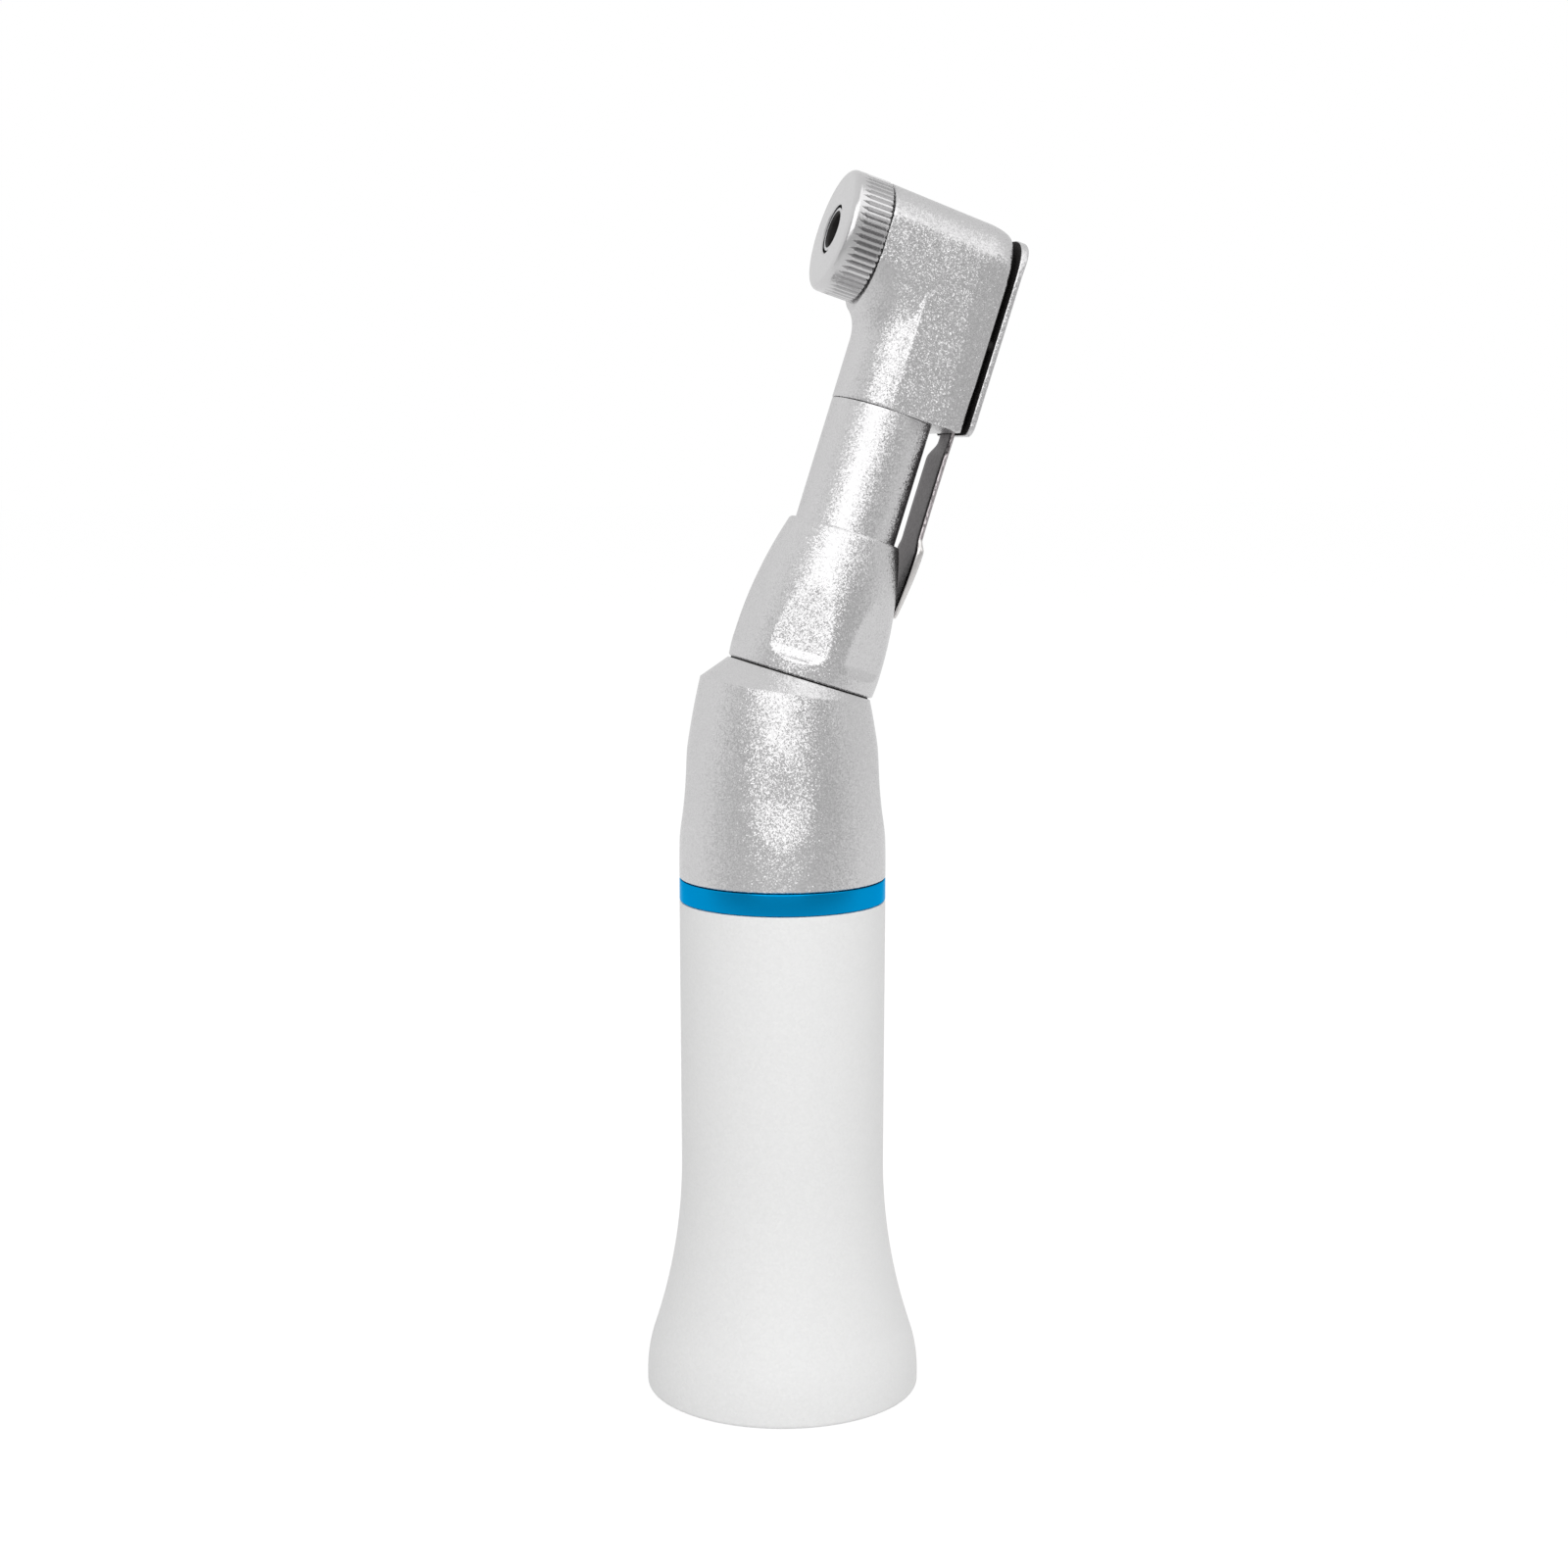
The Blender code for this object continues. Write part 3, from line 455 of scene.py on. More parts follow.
@dataclass
class Handle:
    """White sheath with its flared foot, the colour ring and the liner of the motor socket."""

    axis: Axis
    rim_band: float = 1.0
    rim_wall: float = 1.2
    mouth_depth: float = 7.5
    waist: float = 7.40
    flare: float = 16.0
    bulge_share: float = 0.20
    wall: float = 0.95
    edge: float = 0.35
    head_round: float = 0.12
    ring_round: float = 0.10
    liner_bore: float = 4.6
    liner_round: float = 0.25
    segments: int = 192
    arc_points: int = 20

    def flare_points(self, rim: float) -> np.ndarray:
        """The bell: an arc that bulges from the rim, then one that hollows, tangent to the waist.

        Args:
            rim: Radius of the rim.

        Returns:
            Points of (radius, height) from the waist down to the rim.
        """
        slope = 2 * math.atan2(rim - self.waist, self.flare)
        total = self.flare / math.sin(slope)
        bulge = total * self.bulge_share
        hollow = total - bulge
        angle = np.linspace(0.0, slope, self.arc_points)
        top = self.rim_band + self.flare
        upper = np.stack([self.waist + hollow * (1 - np.cos(angle)), top - hollow * np.sin(angle)],
                         axis=-1)
        back = angle[::-1]
        lower = np.stack([rim - bulge * (1 - np.cos(back)), self.rim_band + bulge * np.sin(back)],
                         axis=-1)
        return np.concatenate([upper, lower[1:]])

    def build(self, dresser: Dresser) -> None:
        """Make the sheath, the ring and the liner."""
        low, high = in_mm(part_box("handle_sheath"))
        ring_low, ring_high = in_mm(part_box("colour_ring"))
        bush_low, bush_high = in_mm(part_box("coupling_bush"))
        rim, outer, bore = high[0], ring_high[0], self.waist - self.wall
        waist = (self.waist, self.rim_band + self.flare)
        head = rounded([(bore, high[2]), (outer, high[2]), waist], self.head_round)[:-1]
        foot = rounded([(rim, self.rim_band), (rim, low[2]), (rim - self.rim_wall, low[2]),
                        (bore, self.mouth_depth), (bore, high[2] - SEAM_STEP)], self.edge)
        sheath = np.concatenate([head, self.flare_points(rim), foot[1:]])
        ring = rounded([(bore, ring_high[2]), (outer, ring_high[2]), (outer, ring_low[2]),
                        (bore, ring_low[2])], self.ring_round)
        liner = rounded([(self.liner_bore, bush_high[2]), (bush_high[0], bush_high[2]),
                         (bush_high[0], bush_low[2]), (self.liner_bore, bush_low[2]),
                         (self.liner_bore, bush_high[2] - SEAM_STEP)], self.liner_round)
        for name, profile, segments, slot, node in (
                ("white_sheath", sheath, self.segments, Slot.WHITE, "handle_sheath"),
                ("blue_band", ring, self.segments, Slot.BLUE, "colour_ring"),
                ("socket_liner", liner, self.segments // 2, Slot.STEEL, "coupling_bush")):
            points, faces = turned(profile, segments)
            dresser.piece(name, self.axis.place(points), faces, Body.HOUSING, slot, [node])


@dataclass
class DogSpring:
    """Coil spring between the drive dog and its clip."""

    axis: Axis
    wire: float = 0.2
    turns: float = 6.0
    travel: float = 1.5
    rows: int = 289
    columns: int = 12

    def build(self, dresser: Dresser) -> None:
        """Carry a round wire along a helix: x = R cos a, y = R sin a, with z rising evenly."""
        low, high = in_mm(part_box("dog_spring"))
        radius = high[0] - self.wire
        bottom, top = low[2] + self.wire, high[2] - self.wire
        angle = np.linspace(0.0, 2 * np.pi * self.turns, self.rows)
        pitch = (top - bottom) / (2 * np.pi * self.turns)
        zero = 0 * angle
        cosine, sine = np.cos(angle), np.sin(angle)
        path = np.stack([radius * cosine, radius * sine, bottom + pitch * angle], axis=-1)
        outward = np.stack([cosine, sine, zero], axis=-1)
        along = np.stack([-radius * sine, radius * cosine, pitch + zero], axis=-1)
        square = np.cross(outward, along / np.linalg.norm(along, axis=1)[:, None])
        turn = np.linspace(0.0, 2 * np.pi, self.columns, endpoint=False)[None, :, None]
        section = np.cos(turn) * outward[:, None] + np.sin(turn) * square[:, None]
        points, triangles = capped_tube(path[:, None] + self.wire * section)
        made = dresser.piece("dog_coil", self.axis.place(points), triangles, Body.REAR_SHAFT,
                             Slot.STEEL, ["dog_spring"])
        anchor = tuple(self.axis.place(np.array([0.0, 0.0, high[2]])))
        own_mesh(made)


@dataclass
class AngleHousing:
    """Satin front of the handle, bevelled off square to the neck, with shallow finger hollows."""

    handle: Axis
    neck: Axis
    radius: float = 7.47
    straight: float = 1.0
    arc: float = 60.0
    lip_at: float = 4.18
    lip: float = 5.38
    lip_slope: float = 38.0
    nose: float = 4.2
    nose_end: float = 8.0
    socket: float = 3.75
    spigot: float = 6.4
    bush_bore: float = 4.2
    cavity: float = 3.65
    cavity_end: float = 1.5
    shoulder_below: float = 4.3
    seal_inset: float = 0.2
    seal_high: float = 0.10
    gap_margin: float = 0.1
    ring_gap: float = 0.05
    foot_round: float = 0.08
    hollows: int = 4
    hollow_first: float = -104.6
    hollow_at: float = 44.2
    hollow_high: float = 3.6
    hollow_wide: float = 2.4
    hollow_depth: float = 0.26
    segments: int = 288
    cone_rows: int = 8
    arc_rows: int = 80

    def outline(self, height: np.ndarray, start: float) -> np.ndarray:
        """Radius of the turned front: upright, then a long arc r = R0 - A + sqrt(A^2 - rise^2).

        Args:
            height: Heights along the handle.
            start: Height of the front's lower edge.

        Returns:
            The radius at each height.
        """
        rise = np.maximum(height - start - self.straight, 0.0)
        return self.radius - self.arc + np.sqrt(self.arc ** 2 - rise ** 2)

    def neck_ring(self, angle: np.ndarray, radius: np.ndarray, along: np.ndarray) -> np.ndarray:
        """Points on a ring about the neck's axis, in the handle's millimetres."""
        local = np.stack([radius * np.cos(angle), radius * np.sin(angle), along + 0 * angle],
                         axis=-1)
        return self.handle.local(self.neck.place(local))

    def shoulder(self, angle: np.ndarray, start: float) -> Tuple[np.ndarray, np.ndarray]:
        """Where the bevel's rulings leave the turned front, found by halving along each ruling.

        Args:
            angle: Angles round the neck's axis.
            start: Height of the front's lower edge.

        Returns:
            The shoulder's points and the lip's points.
        """
        slope = math.radians(self.lip_slope)
        level = np.full_like(angle, self.lip_at)

        def leave(longest: float, reached: Spots) -> Tuple[np.ndarray, np.ndarray]:
            """Last reach inside the front and first reach outside it, up to the longest one."""
            near, far = np.zeros_like(angle), np.full_like(angle, longest)
            for _ in range(HALVINGS):
                middle = (near + far) / 2
                points = reached(middle)
                out = np.hypot(points[:, 0], points[:, 1]) > self.outline(points[:, 2], start)
                near, far = np.where(out, near, middle), np.where(out, middle, far)
            return near, far

        def ruling(reach: np.ndarray) -> np.ndarray:
            """Points on the bevel, at the given reach from the lip."""
            return self.neck_ring(angle, lip_radius + reach * math.sin(slope),
                                  self.lip_at - reach * math.cos(slope))

        _, far = leave(self.lip, lambda radius: self.neck_ring(angle, radius, level))
        lip_radius = np.minimum(far, self.lip)
        near, _ = leave(self.radius, ruling)
        return ruling(near), self.neck_ring(angle, lip_radius, level)

    def hollow(self, angle: np.ndarray, height: np.ndarray) -> np.ndarray:
        """Depth of the finger hollows: smooth ovals, evenly round the handle."""
        pitch = 2 * np.pi / self.hollows
        first = math.radians(self.hollow_first)
        turn = (angle - first + pitch / 2) % pitch - pitch / 2
        away = np.hypot(turn * self.radius / self.hollow_wide,
                        (height - self.hollow_at) / self.hollow_high)
        return self.hollow_depth * (1 - smooth_step(away))

    def build(self, dresser: Dresser) -> None:
        """Make one closed grid of rings, from the nose down the outside and up the bore."""
        low, _ = in_mm(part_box("angle_housing"))
        _, ring_high = in_mm(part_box("colour_ring"))
        start = ring_high[2] + self.ring_gap
        bend = self.handle.local(self.neck.origin)[2]
        angle = np.linspace(0.0, 2 * np.pi, self.segments, endpoint=False)
        whole = np.ones_like(angle)
        edge, lip = self.shoulder(angle, start)
        rows = [self.neck_ring(angle, radius * whole, along * whole) for radius, along in (
            (self.socket, self.nose_end), (self.nose, self.nose_end),
            (self.nose, self.lip_at + self.seal_high))]
        base, raised, centre = (self.neck_ring(angle, 0 * whole, along * whole)
                                for along in (0.0, self.seal_high, self.lip_at))
        seal = lip + self.seal_inset / self.lip * (centre - lip)
        rows += [seal + (raised - base), seal]
        share = np.linspace(0.0, 1.0, self.cone_rows)[:, None, None]
        rows += list(lip + share * (edge - lip))
        turn = np.arctan2(edge[:, 1], edge[:, 0])
        share = np.linspace(0.0, 1.0, self.arc_rows)[1:, None]
        height = edge[:, 2] + share * (start + self.foot_round - edge[:, 2])
        radius = self.outline(height, start) - self.hollow(turn, height)
        rows += list(np.stack([radius * np.cos(turn), radius * np.sin(turn), height], axis=-1))
        step = bend - self.shoulder_below
        inside = [(self.radius - self.foot_round, start), (self.spigot, start),
                  (self.spigot, low[2]), (self.bush_bore, low[2]), (self.bush_bore, step),
                  (self.cavity, step), (self.cavity, bend - self.cavity_end)]
        rows += [np.stack([radius * np.cos(turn), radius * np.sin(turn), height * whole], axis=-1)
                 for radius, height in inside]
        faces = grid_faces(len(rows), self.segments, True)
        made = dresser.piece("front_housing", self.handle.place(np.concatenate(rows)), faces,
                             Body.HOUSING, Slot.SATIN, ["angle_housing"], sharp_deg=26.0)
        # Painted shade on the low step in the gap under the lock ring.
        dresser.further_finish(made, dresser.painted_shade, self.in_gap)

    def in_gap(self, centre: np.ndarray, normal: np.ndarray) -> np.ndarray:
        """True for faces of the low step between the lip and the lock ring, which get painted
        shade.
        """
        above = self.neck.local(centre)[:, 2] - self.lip_at
        low, high = self.gap_margin * self.seal_high, (1 + self.gap_margin) * self.seal_high
        return (above > low) & (above < high)


@dataclass
class LockRing:
    """Collar at the bend, with flat finger grips that end in a sloping step."""

    axis: Axis
    bulge_at: float = 1.5
    bulge: float = 5.47
    foot: float = 5.38
    arc: float = 32.0
    start: float = 4.30
    length: float = 10.83
    nose_bore: float = 4.25
    flange_top: float = 9.05
    neck_bore: float = 3.74
    grips: int = 6
    grip_first: float = -113.3
    flat: float = 5.05
    floor: float = 1.75
    step: float = 0.62
    ledge: float = 1.20
    ledge_rise: float = 0.10
    ledge_over: float = 0.12
    soften: float = 0.022
    skin: float = 0.2
    top_round: float = 0.12
    edge_round: float = 0.10
    segments: int = 480
    rows: int = 110

    def outline(self, above: np.ndarray) -> np.ndarray:
        """Radius of the ring: a short taper up to the bulge, then a long arc in to the top."""
        rise = np.maximum(above - self.bulge_at, 0.0)
        below = np.maximum(self.bulge_at - above, 0.0) / self.bulge_at
        swell = self.bulge - self.arc + np.sqrt(self.arc ** 2 - rise ** 2)
        return swell - (self.bulge - self.foot) * below ** 2

    def grip(self, angle: np.ndarray, radius: np.ndarray, height: np.ndarray) -> np.ndarray:
        """Shift of the radius where a grip is cut.

        The cut is the smaller of the ring and a pocket. The pocket is a plane at a fixed distance
        from the axis, r = d / cos a, with a two-part slope at its foot. A soft minimum rounds the
        edges.

        Args:
            angle: Angles round the neck.
            radius: Radius of the ring before the cut.
            height: Heights along the neck's axis.

        Returns:
            The shift, zero or inwards.
        """
        above = height - self.start
        pitch = 2 * np.pi / self.grips
        turn = (angle - math.radians(self.grip_first) + pitch / 2) % pitch - pitch / 2
        rise = (self.bulge - self.flat) / (self.floor - self.step)
        slope = np.maximum(self.floor - above, 0.0) * rise
        ledge = self.ledge_rise * smooth_step((self.ledge - above) / self.ledge_over)
        pocket = self.flat / np.cos(turn) + slope + ledge
        gap = np.clip((radius - pocket) / self.soften, -EXPONENT_LIMIT, EXPONENT_LIMIT)
        cut = -self.soften * np.logaddexp(0.0, gap)
        return np.where(radius > self.nose_bore + self.skin, cut, 0.0)

    def build(self, dresser: Dresser) -> None:
        """Make the ring."""
        above = np.linspace(self.length - self.top_round, self.edge_round, self.rows)
        side = np.stack([self.outline(above), self.start + above], axis=-1)
        top = self.start + self.length
        lip = [(self.neck_bore, top), (side[0, 0] - self.edge_round, top)]
        inside = [(self.foot - self.edge_round, self.start), (self.nose_bore, self.start),
                  (self.nose_bore, self.flange_top), (self.neck_bore, self.flange_top)]
        profile = np.concatenate([np.array(lip), side, np.array(inside)])
        points, faces = turned(profile, self.segments, self.grip)
        dresser.piece("grip_collar", self.axis.place(points), faces, Body.LOCK_RING, Slot.SATIN,
                      ["lock_ring"], sharp_deg=40.0)


@dataclass
class Neck:
    """Round neck tube between the lock ring and the head."""

    axis: Axis
    radius: float = 3.69
    stub: float = 3.0
    flange: float = 4.15
    flange_at: Tuple[float, float] = (8.05, 8.95)
    start: float = 2.6
    end: float = 24.045
    stub_end: float = 27.52
    bore: float = 2.2
    corner_round: float = 0.03
    segments: int = 128

    def build(self, dresser: Dresser) -> None:
        """Make the tube."""
        low, high = self.flange_at
        corners = [(self.bore, self.stub_end), (self.stub, self.stub_end), (self.stub, self.end),
                   (self.radius, self.end), (self.radius, high), (self.flange, high),
                   (self.flange, low), (self.radius, low), (self.radius, self.start),
                   (self.bore, self.start), (self.bore, self.stub_end - SEAM_STEP)]
        points, faces = turned(rounded(corners, self.corner_round, 2), self.segments)
        dresser.piece("neck_sleeve", self.axis.place(points), faces, Body.HOUSING, Slot.SATIN,
                      ["neck_tube"])


def surface_net(field: np.ndarray, low: np.ndarray, step: float) -> Tuple[np.ndarray, np.ndarray]:
    """Skin the zero level of a field of signed distances.

    Each cell that the surface crosses gets one point, the mean of the crossings on its twelve
    edges, and each crossed edge of the lattice joins the points of its four cells.

    Args:
        field: Distances on a lattice, negative inside.
        low: Lattice corner.
        step: Lattice spacing.

    Returns:
        Points and faces.
    """
    cells = tuple(size - 1 for size in field.shape)
    corners = np.array(np.meshgrid((0, 1), (0, 1), (0, 1), indexing="ij")).reshape(3, -1).T
    unit = np.eye(3, dtype=int)

    def at(corner: np.ndarray) -> np.ndarray:
        """The field at one corner of every cell."""
        return field[tuple(slice(c, c + n) for c, n in zip(corner, cells))]

    total = np.zeros((*cells, 3))
    count = np.zeros(cells)
    for corner in corners:
        for way in range(3):
            if corner[way]:
                continue
            first = at(corner)
            last = at(corner + unit[way])
            crossed = (first < 0) != (last < 0)
            share = np.where(crossed, first / np.where(crossed, first - last, 1.0), 0.0)
            total += crossed[..., None] * (corner + share[..., None] * unit[way])
            count += crossed
    active = count > 0
    index = np.full(cells, -1)
    index[active] = np.arange(np.count_nonzero(active))
    points = low + step * (np.argwhere(active) + total[active] / count[active][:, None])
    faces: List[np.ndarray] = []
    for way in range(3):
        one, two = (way + 1) % 3, (way + 2) % 3
        first = np.take(field, range(field.shape[way] - 1), way) < 0
        last = np.take(field, range(1, field.shape[way]), way) < 0
        spot = np.argwhere(first != last)
        sides = spot[:, [one, two]]
        room = np.array(field.shape)[[one, two]] - 1
        spot = spot[np.all((sides > 0) & (sides < room), axis=1)]
        ring = [spot - unit[one] - unit[two], spot - unit[two], spot, spot - unit[one]]
        quad = np.stack([index[tuple(cell.T)] for cell in ring], axis=-1)
        outwards = first[tuple(spot.T)]
        faces.append(np.where(outwards[:, None], quad, quad[:, ::-1]))
    return points, np.concatenate(faces)


@dataclass
class Head:
    """Head body: a barrel on the bur's axis, blended into a neck-like chest, with flat sides."""

    axis: Axis
    front: float = 4.48
    back: float = -5.03
    barrel: float = 4.35
    barrel_back: float = 4.10
    round_at: float = -2.9
    back_radius: float = 3.55
    half_width: float = 3.75
    draft: float = 0.016
    facet_at: float = -2.73
    facet_slope: float = 0.10
    facet_lean: float = 0.08
    block_front: float = 0.6
    chest: float = 3.72
    foot: float = -11.05
    blend: float = 2.6
    blend_from: float = -0.8
    blend_over: float = 2.6
    least_blend: float = 0.02
    crease: float = 0.22
    cheek: float = 0.5
    cheek_ends: Tuple[float, float] = (-7.5, -0.5)
    cheek_fades: Tuple[float, float] = (3.0, 2.0)
    cheek_front: float = 0.2
    cheek_deep: float = 1.5
    gear_cavity: float = 3.26
    cavity_back: float = -2.9
    drum_bore: float = 2.65
    stub_bore: float = 3.05
    stub_end: float = -7.6
    lattice: float = 0.11
    margin_cells: int = 3

    def softness(self, u: np.ndarray, o: np.ndarray) -> np.ndarray:
        """Rounding of the flat sides' edges: a narrow crease, wider at the cheek under the cap."""
        (low, high), (rise, fall) = self.cheek_ends, self.cheek_fades
        cheek = smooth_step((u - low) / rise) * smooth_step((high - u) / fall)
        cheek = cheek * smooth_step((o - self.cheek_front) / self.cheek_deep)
        return self.crease + self.cheek * cheek

    def distance(self, u: np.ndarray, y: np.ndarray, o: np.ndarray) -> np.ndarray:
        """Signed distance of the head, with u along the neck and o along the bur's axis.

        The barrel and the chest are round distances, joined by a smooth minimum whose reach grows
        towards the cap. The block and the flat sides are planes, and the bores are taken off last.

        Args:
            u: Coordinates along the neck.
            y: Coordinates across.
            o: Coordinates along the bur's axis.

        Returns:
            Distances, negative inside.
        """
        tail = np.clip((self.round_at - o) / (self.round_at - self.back), 0.0, 1.0)
        cone = self.barrel_back + (self.barrel - self.barrel_back) * np.clip(
            (o - self.round_at) / (self.front - self.round_at), 0.0, 1.0)
        radius = cone - (self.barrel_back - self.back_radius) * (1 - np.sqrt(1 - tail ** 2))
        barrel = np.hypot(u, y) - radius
        chest = np.maximum(np.hypot(y, o) - self.chest, u)
        reach = self.blend * smooth_step((o - self.blend_from) / self.blend_over)
        reach = np.maximum(reach, self.least_blend)
        mix = np.clip(0.5 + 0.5 * (chest - barrel) / reach, 0.0, 1.0)
        solid = chest + (barrel - chest) * mix - reach * mix * (1 - mix)
        wide = self.half_width + self.draft * (u - self.foot)
        wide = wide - self.facet_slope * np.maximum(self.facet_at + self.facet_lean * u - o, 0.0)
        block = np.maximum.reduce([np.abs(y) - wide, o - self.block_front, u])
        solid = np.minimum(solid, block)
        plane = np.abs(y) - wide
        soft = self.softness(u, o)
        mix = np.clip(0.5 + 0.5 * (plane - solid) / soft, 0.0, 1.0)
        solid = solid + (plane - solid) * mix + soft * mix * (1 - mix)
        solid = np.maximum.reduce([solid, o - self.front, self.back - o, self.foot - u])
        gears = np.maximum(np.hypot(u, y) - self.gear_cavity, self.cavity_back - o)
        drum = np.hypot(u, y) - self.drum_bore
        stub = np.where(u < self.stub_end, self.stub_bore, self.gear_cavity)
        neck = np.maximum(np.hypot(y, o) - stub, u)
        return np.maximum(solid, -np.minimum.reduce([gears, drum, neck]))

    def build(self, dresser: Dresser) -> None:
        """Skin the head on a fine lattice."""
        margin = self.margin_cells * self.lattice
        low = np.array([self.foot - margin, -self.barrel - margin, self.back - margin])
        high = np.array([self.barrel + margin, self.barrel + margin, self.front + margin])
        ticks = [np.arange(a, b, self.lattice) for a, b in zip(low, high)]
        field = self.distance(*np.meshgrid(*ticks, indexing="ij"))
        points, faces = surface_net(field, low, self.lattice)
        made = dresser.piece("head_shell", self.axis.place(points), faces, Body.HOUSING, Slot.SATIN,
                             ["head_body"], sharp_deg=38.0)
        # Painted shade on the head's back face, inside the latch's slot.
        dresser.further_finish(made, dresser.painted_shade, self.in_slot)

    def in_slot(self, centre: np.ndarray, normal: np.ndarray) -> np.ndarray:
        """True for the back face, which lies in the latch's slot and gets painted shade."""
        return self.axis.local(centre)[:, 2] < self.back + 0.5 * self.lattice


@dataclass
class Chuck:
    """Knurled head cap, and the bur drum that shows in its hole."""

    axis: Axis
    face: float = 7.5
    crown: float = 0.06
    radius: float = 4.40
    hole: float = 1.775
    edge: float = 0.45
    back: float = 4.60
    spigot: float = 3.2
    spigot_end: float = 4.20
    bore: float = 1.86
    grooves: int = 56
    groove_start: float = 6.86
    groove_ramp: float = 0.55
    groove_depth: float = 0.33
    groove_half: float = 0.165
    knurl_skin: float = 0.3
    points_a_groove: int = 14
    side_rows: int = 28
    face_rows: int = 8
    hole_round: float = 0.08
    hole_drop: float = 0.10
    side_step: float = 0.02
    back_rise: float = 0.08
    back_inset: float = 0.09
    nose: float = 1.575
    nose_at: float = 7.38
    drum: float = 1.75
    drum_bore: float = 1.2
    drum_step: float = 4.85
    drum_round: float = 0.05
    drum_seam: float = 0.01
    chamfer: float = 0.15
    drum_back: float = -4.93
    drum_segments: int = 96

    def knurl(self, angle: np.ndarray, radius: np.ndarray, height: np.ndarray) -> np.ndarray:
        """V grooves that start in a point: the depth of a ramp, less the rise of the V's sides."""
        pitch = 2 * np.pi / self.grooves
        away = np.abs((angle + pitch / 2) % pitch - pitch / 2) * self.radius
        ramp = np.clip((self.groove_start - height) / self.groove_ramp, 0.0, 1.0)
        depth = self.groove_depth * ramp - away * self.groove_depth / self.groove_half
        return np.where(radius > self.radius - self.knurl_skin, -np.maximum(depth, 0.0), 0.0)

    def cap_profile(self) -> np.ndarray:
        """Outline of the cap: hole, slightly crowned face, rounded edge, side, back and spigot."""
        reach = np.linspace(self.hole + self.hole_round, self.radius - self.edge, self.face_rows)
        crowned = self.face - self.crown * (reach / self.radius) ** 2
        face = np.stack([reach, crowned], axis=-1)
        turn = np.linspace(0.0, np.pi / 2, self.face_rows)[1:]
        shoulder = np.stack([self.radius - self.edge * (1 - np.sin(turn)),
                             crowned[-1] - self.edge * (1 - np.cos(turn))], axis=-1)
        height = np.linspace(shoulder[-1, 1] - self.side_step, self.back + self.back_rise,
                             self.side_rows)
        side = np.stack([np.full_like(height, self.radius), height], axis=-1)
        start = [(self.hole, self.face - self.hole_drop)]
        rest = [(self.radius - self.back_inset, self.back), (self.spigot, self.back),
                (self.spigot, self.spigot_end), (self.bore, self.spigot_end),
                (self.bore, self.back), (self.hole, self.back + SEAM_STEP)]
        return np.concatenate([np.array(start), face, shoulder, side, np.array(rest)])

    def in_bore(self, centre: np.ndarray, normal: np.ndarray) -> np.ndarray:
        """True for faces of the drum's bore and its chamfer, which get painted shade."""
        local = self.axis.local(centre)
        return np.hypot(local[:, 0], local[:, 1]) < self.drum_bore + self.chamfer + self.drum_seam

    def build(self, dresser: Dresser) -> None:
        """Make the cap and the drum."""
        points, faces = turned(self.cap_profile(), self.grooves * self.points_a_groove, self.knurl)
        cap = dresser.piece("knurled_cap", self.axis.place(points), faces, Body.HOUSING, Slot.SATIN,
                            ["head_cap"], sharp_deg=28.0)
        cap.data.materials[0] = dresser.fine
        mouth = self.drum_bore + self.chamfer
        corners = [(mouth, self.nose_at), (self.nose, self.nose_at), (self.nose, self.drum_step),
                   (self.drum, self.drum_step), (self.drum, self.drum_back),
                   (self.drum_bore, self.drum_back), (self.drum_bore, self.nose_at - self.chamfer),
                   (mouth, self.nose_at - self.drum_seam)]
        points, faces = turned(rounded(corners, self.drum_round, 2), self.drum_segments)
        drum = dresser.piece("bur_sleeve", self.axis.place(points), faces, Body.BUR_DRUM,
                             Slot.STEEL, ["bur_drum"])
        # Painted shade in the drum's bore and on its chamfer.
        dresser.further_finish(drum, dresser.painted_shade, self.in_bore)


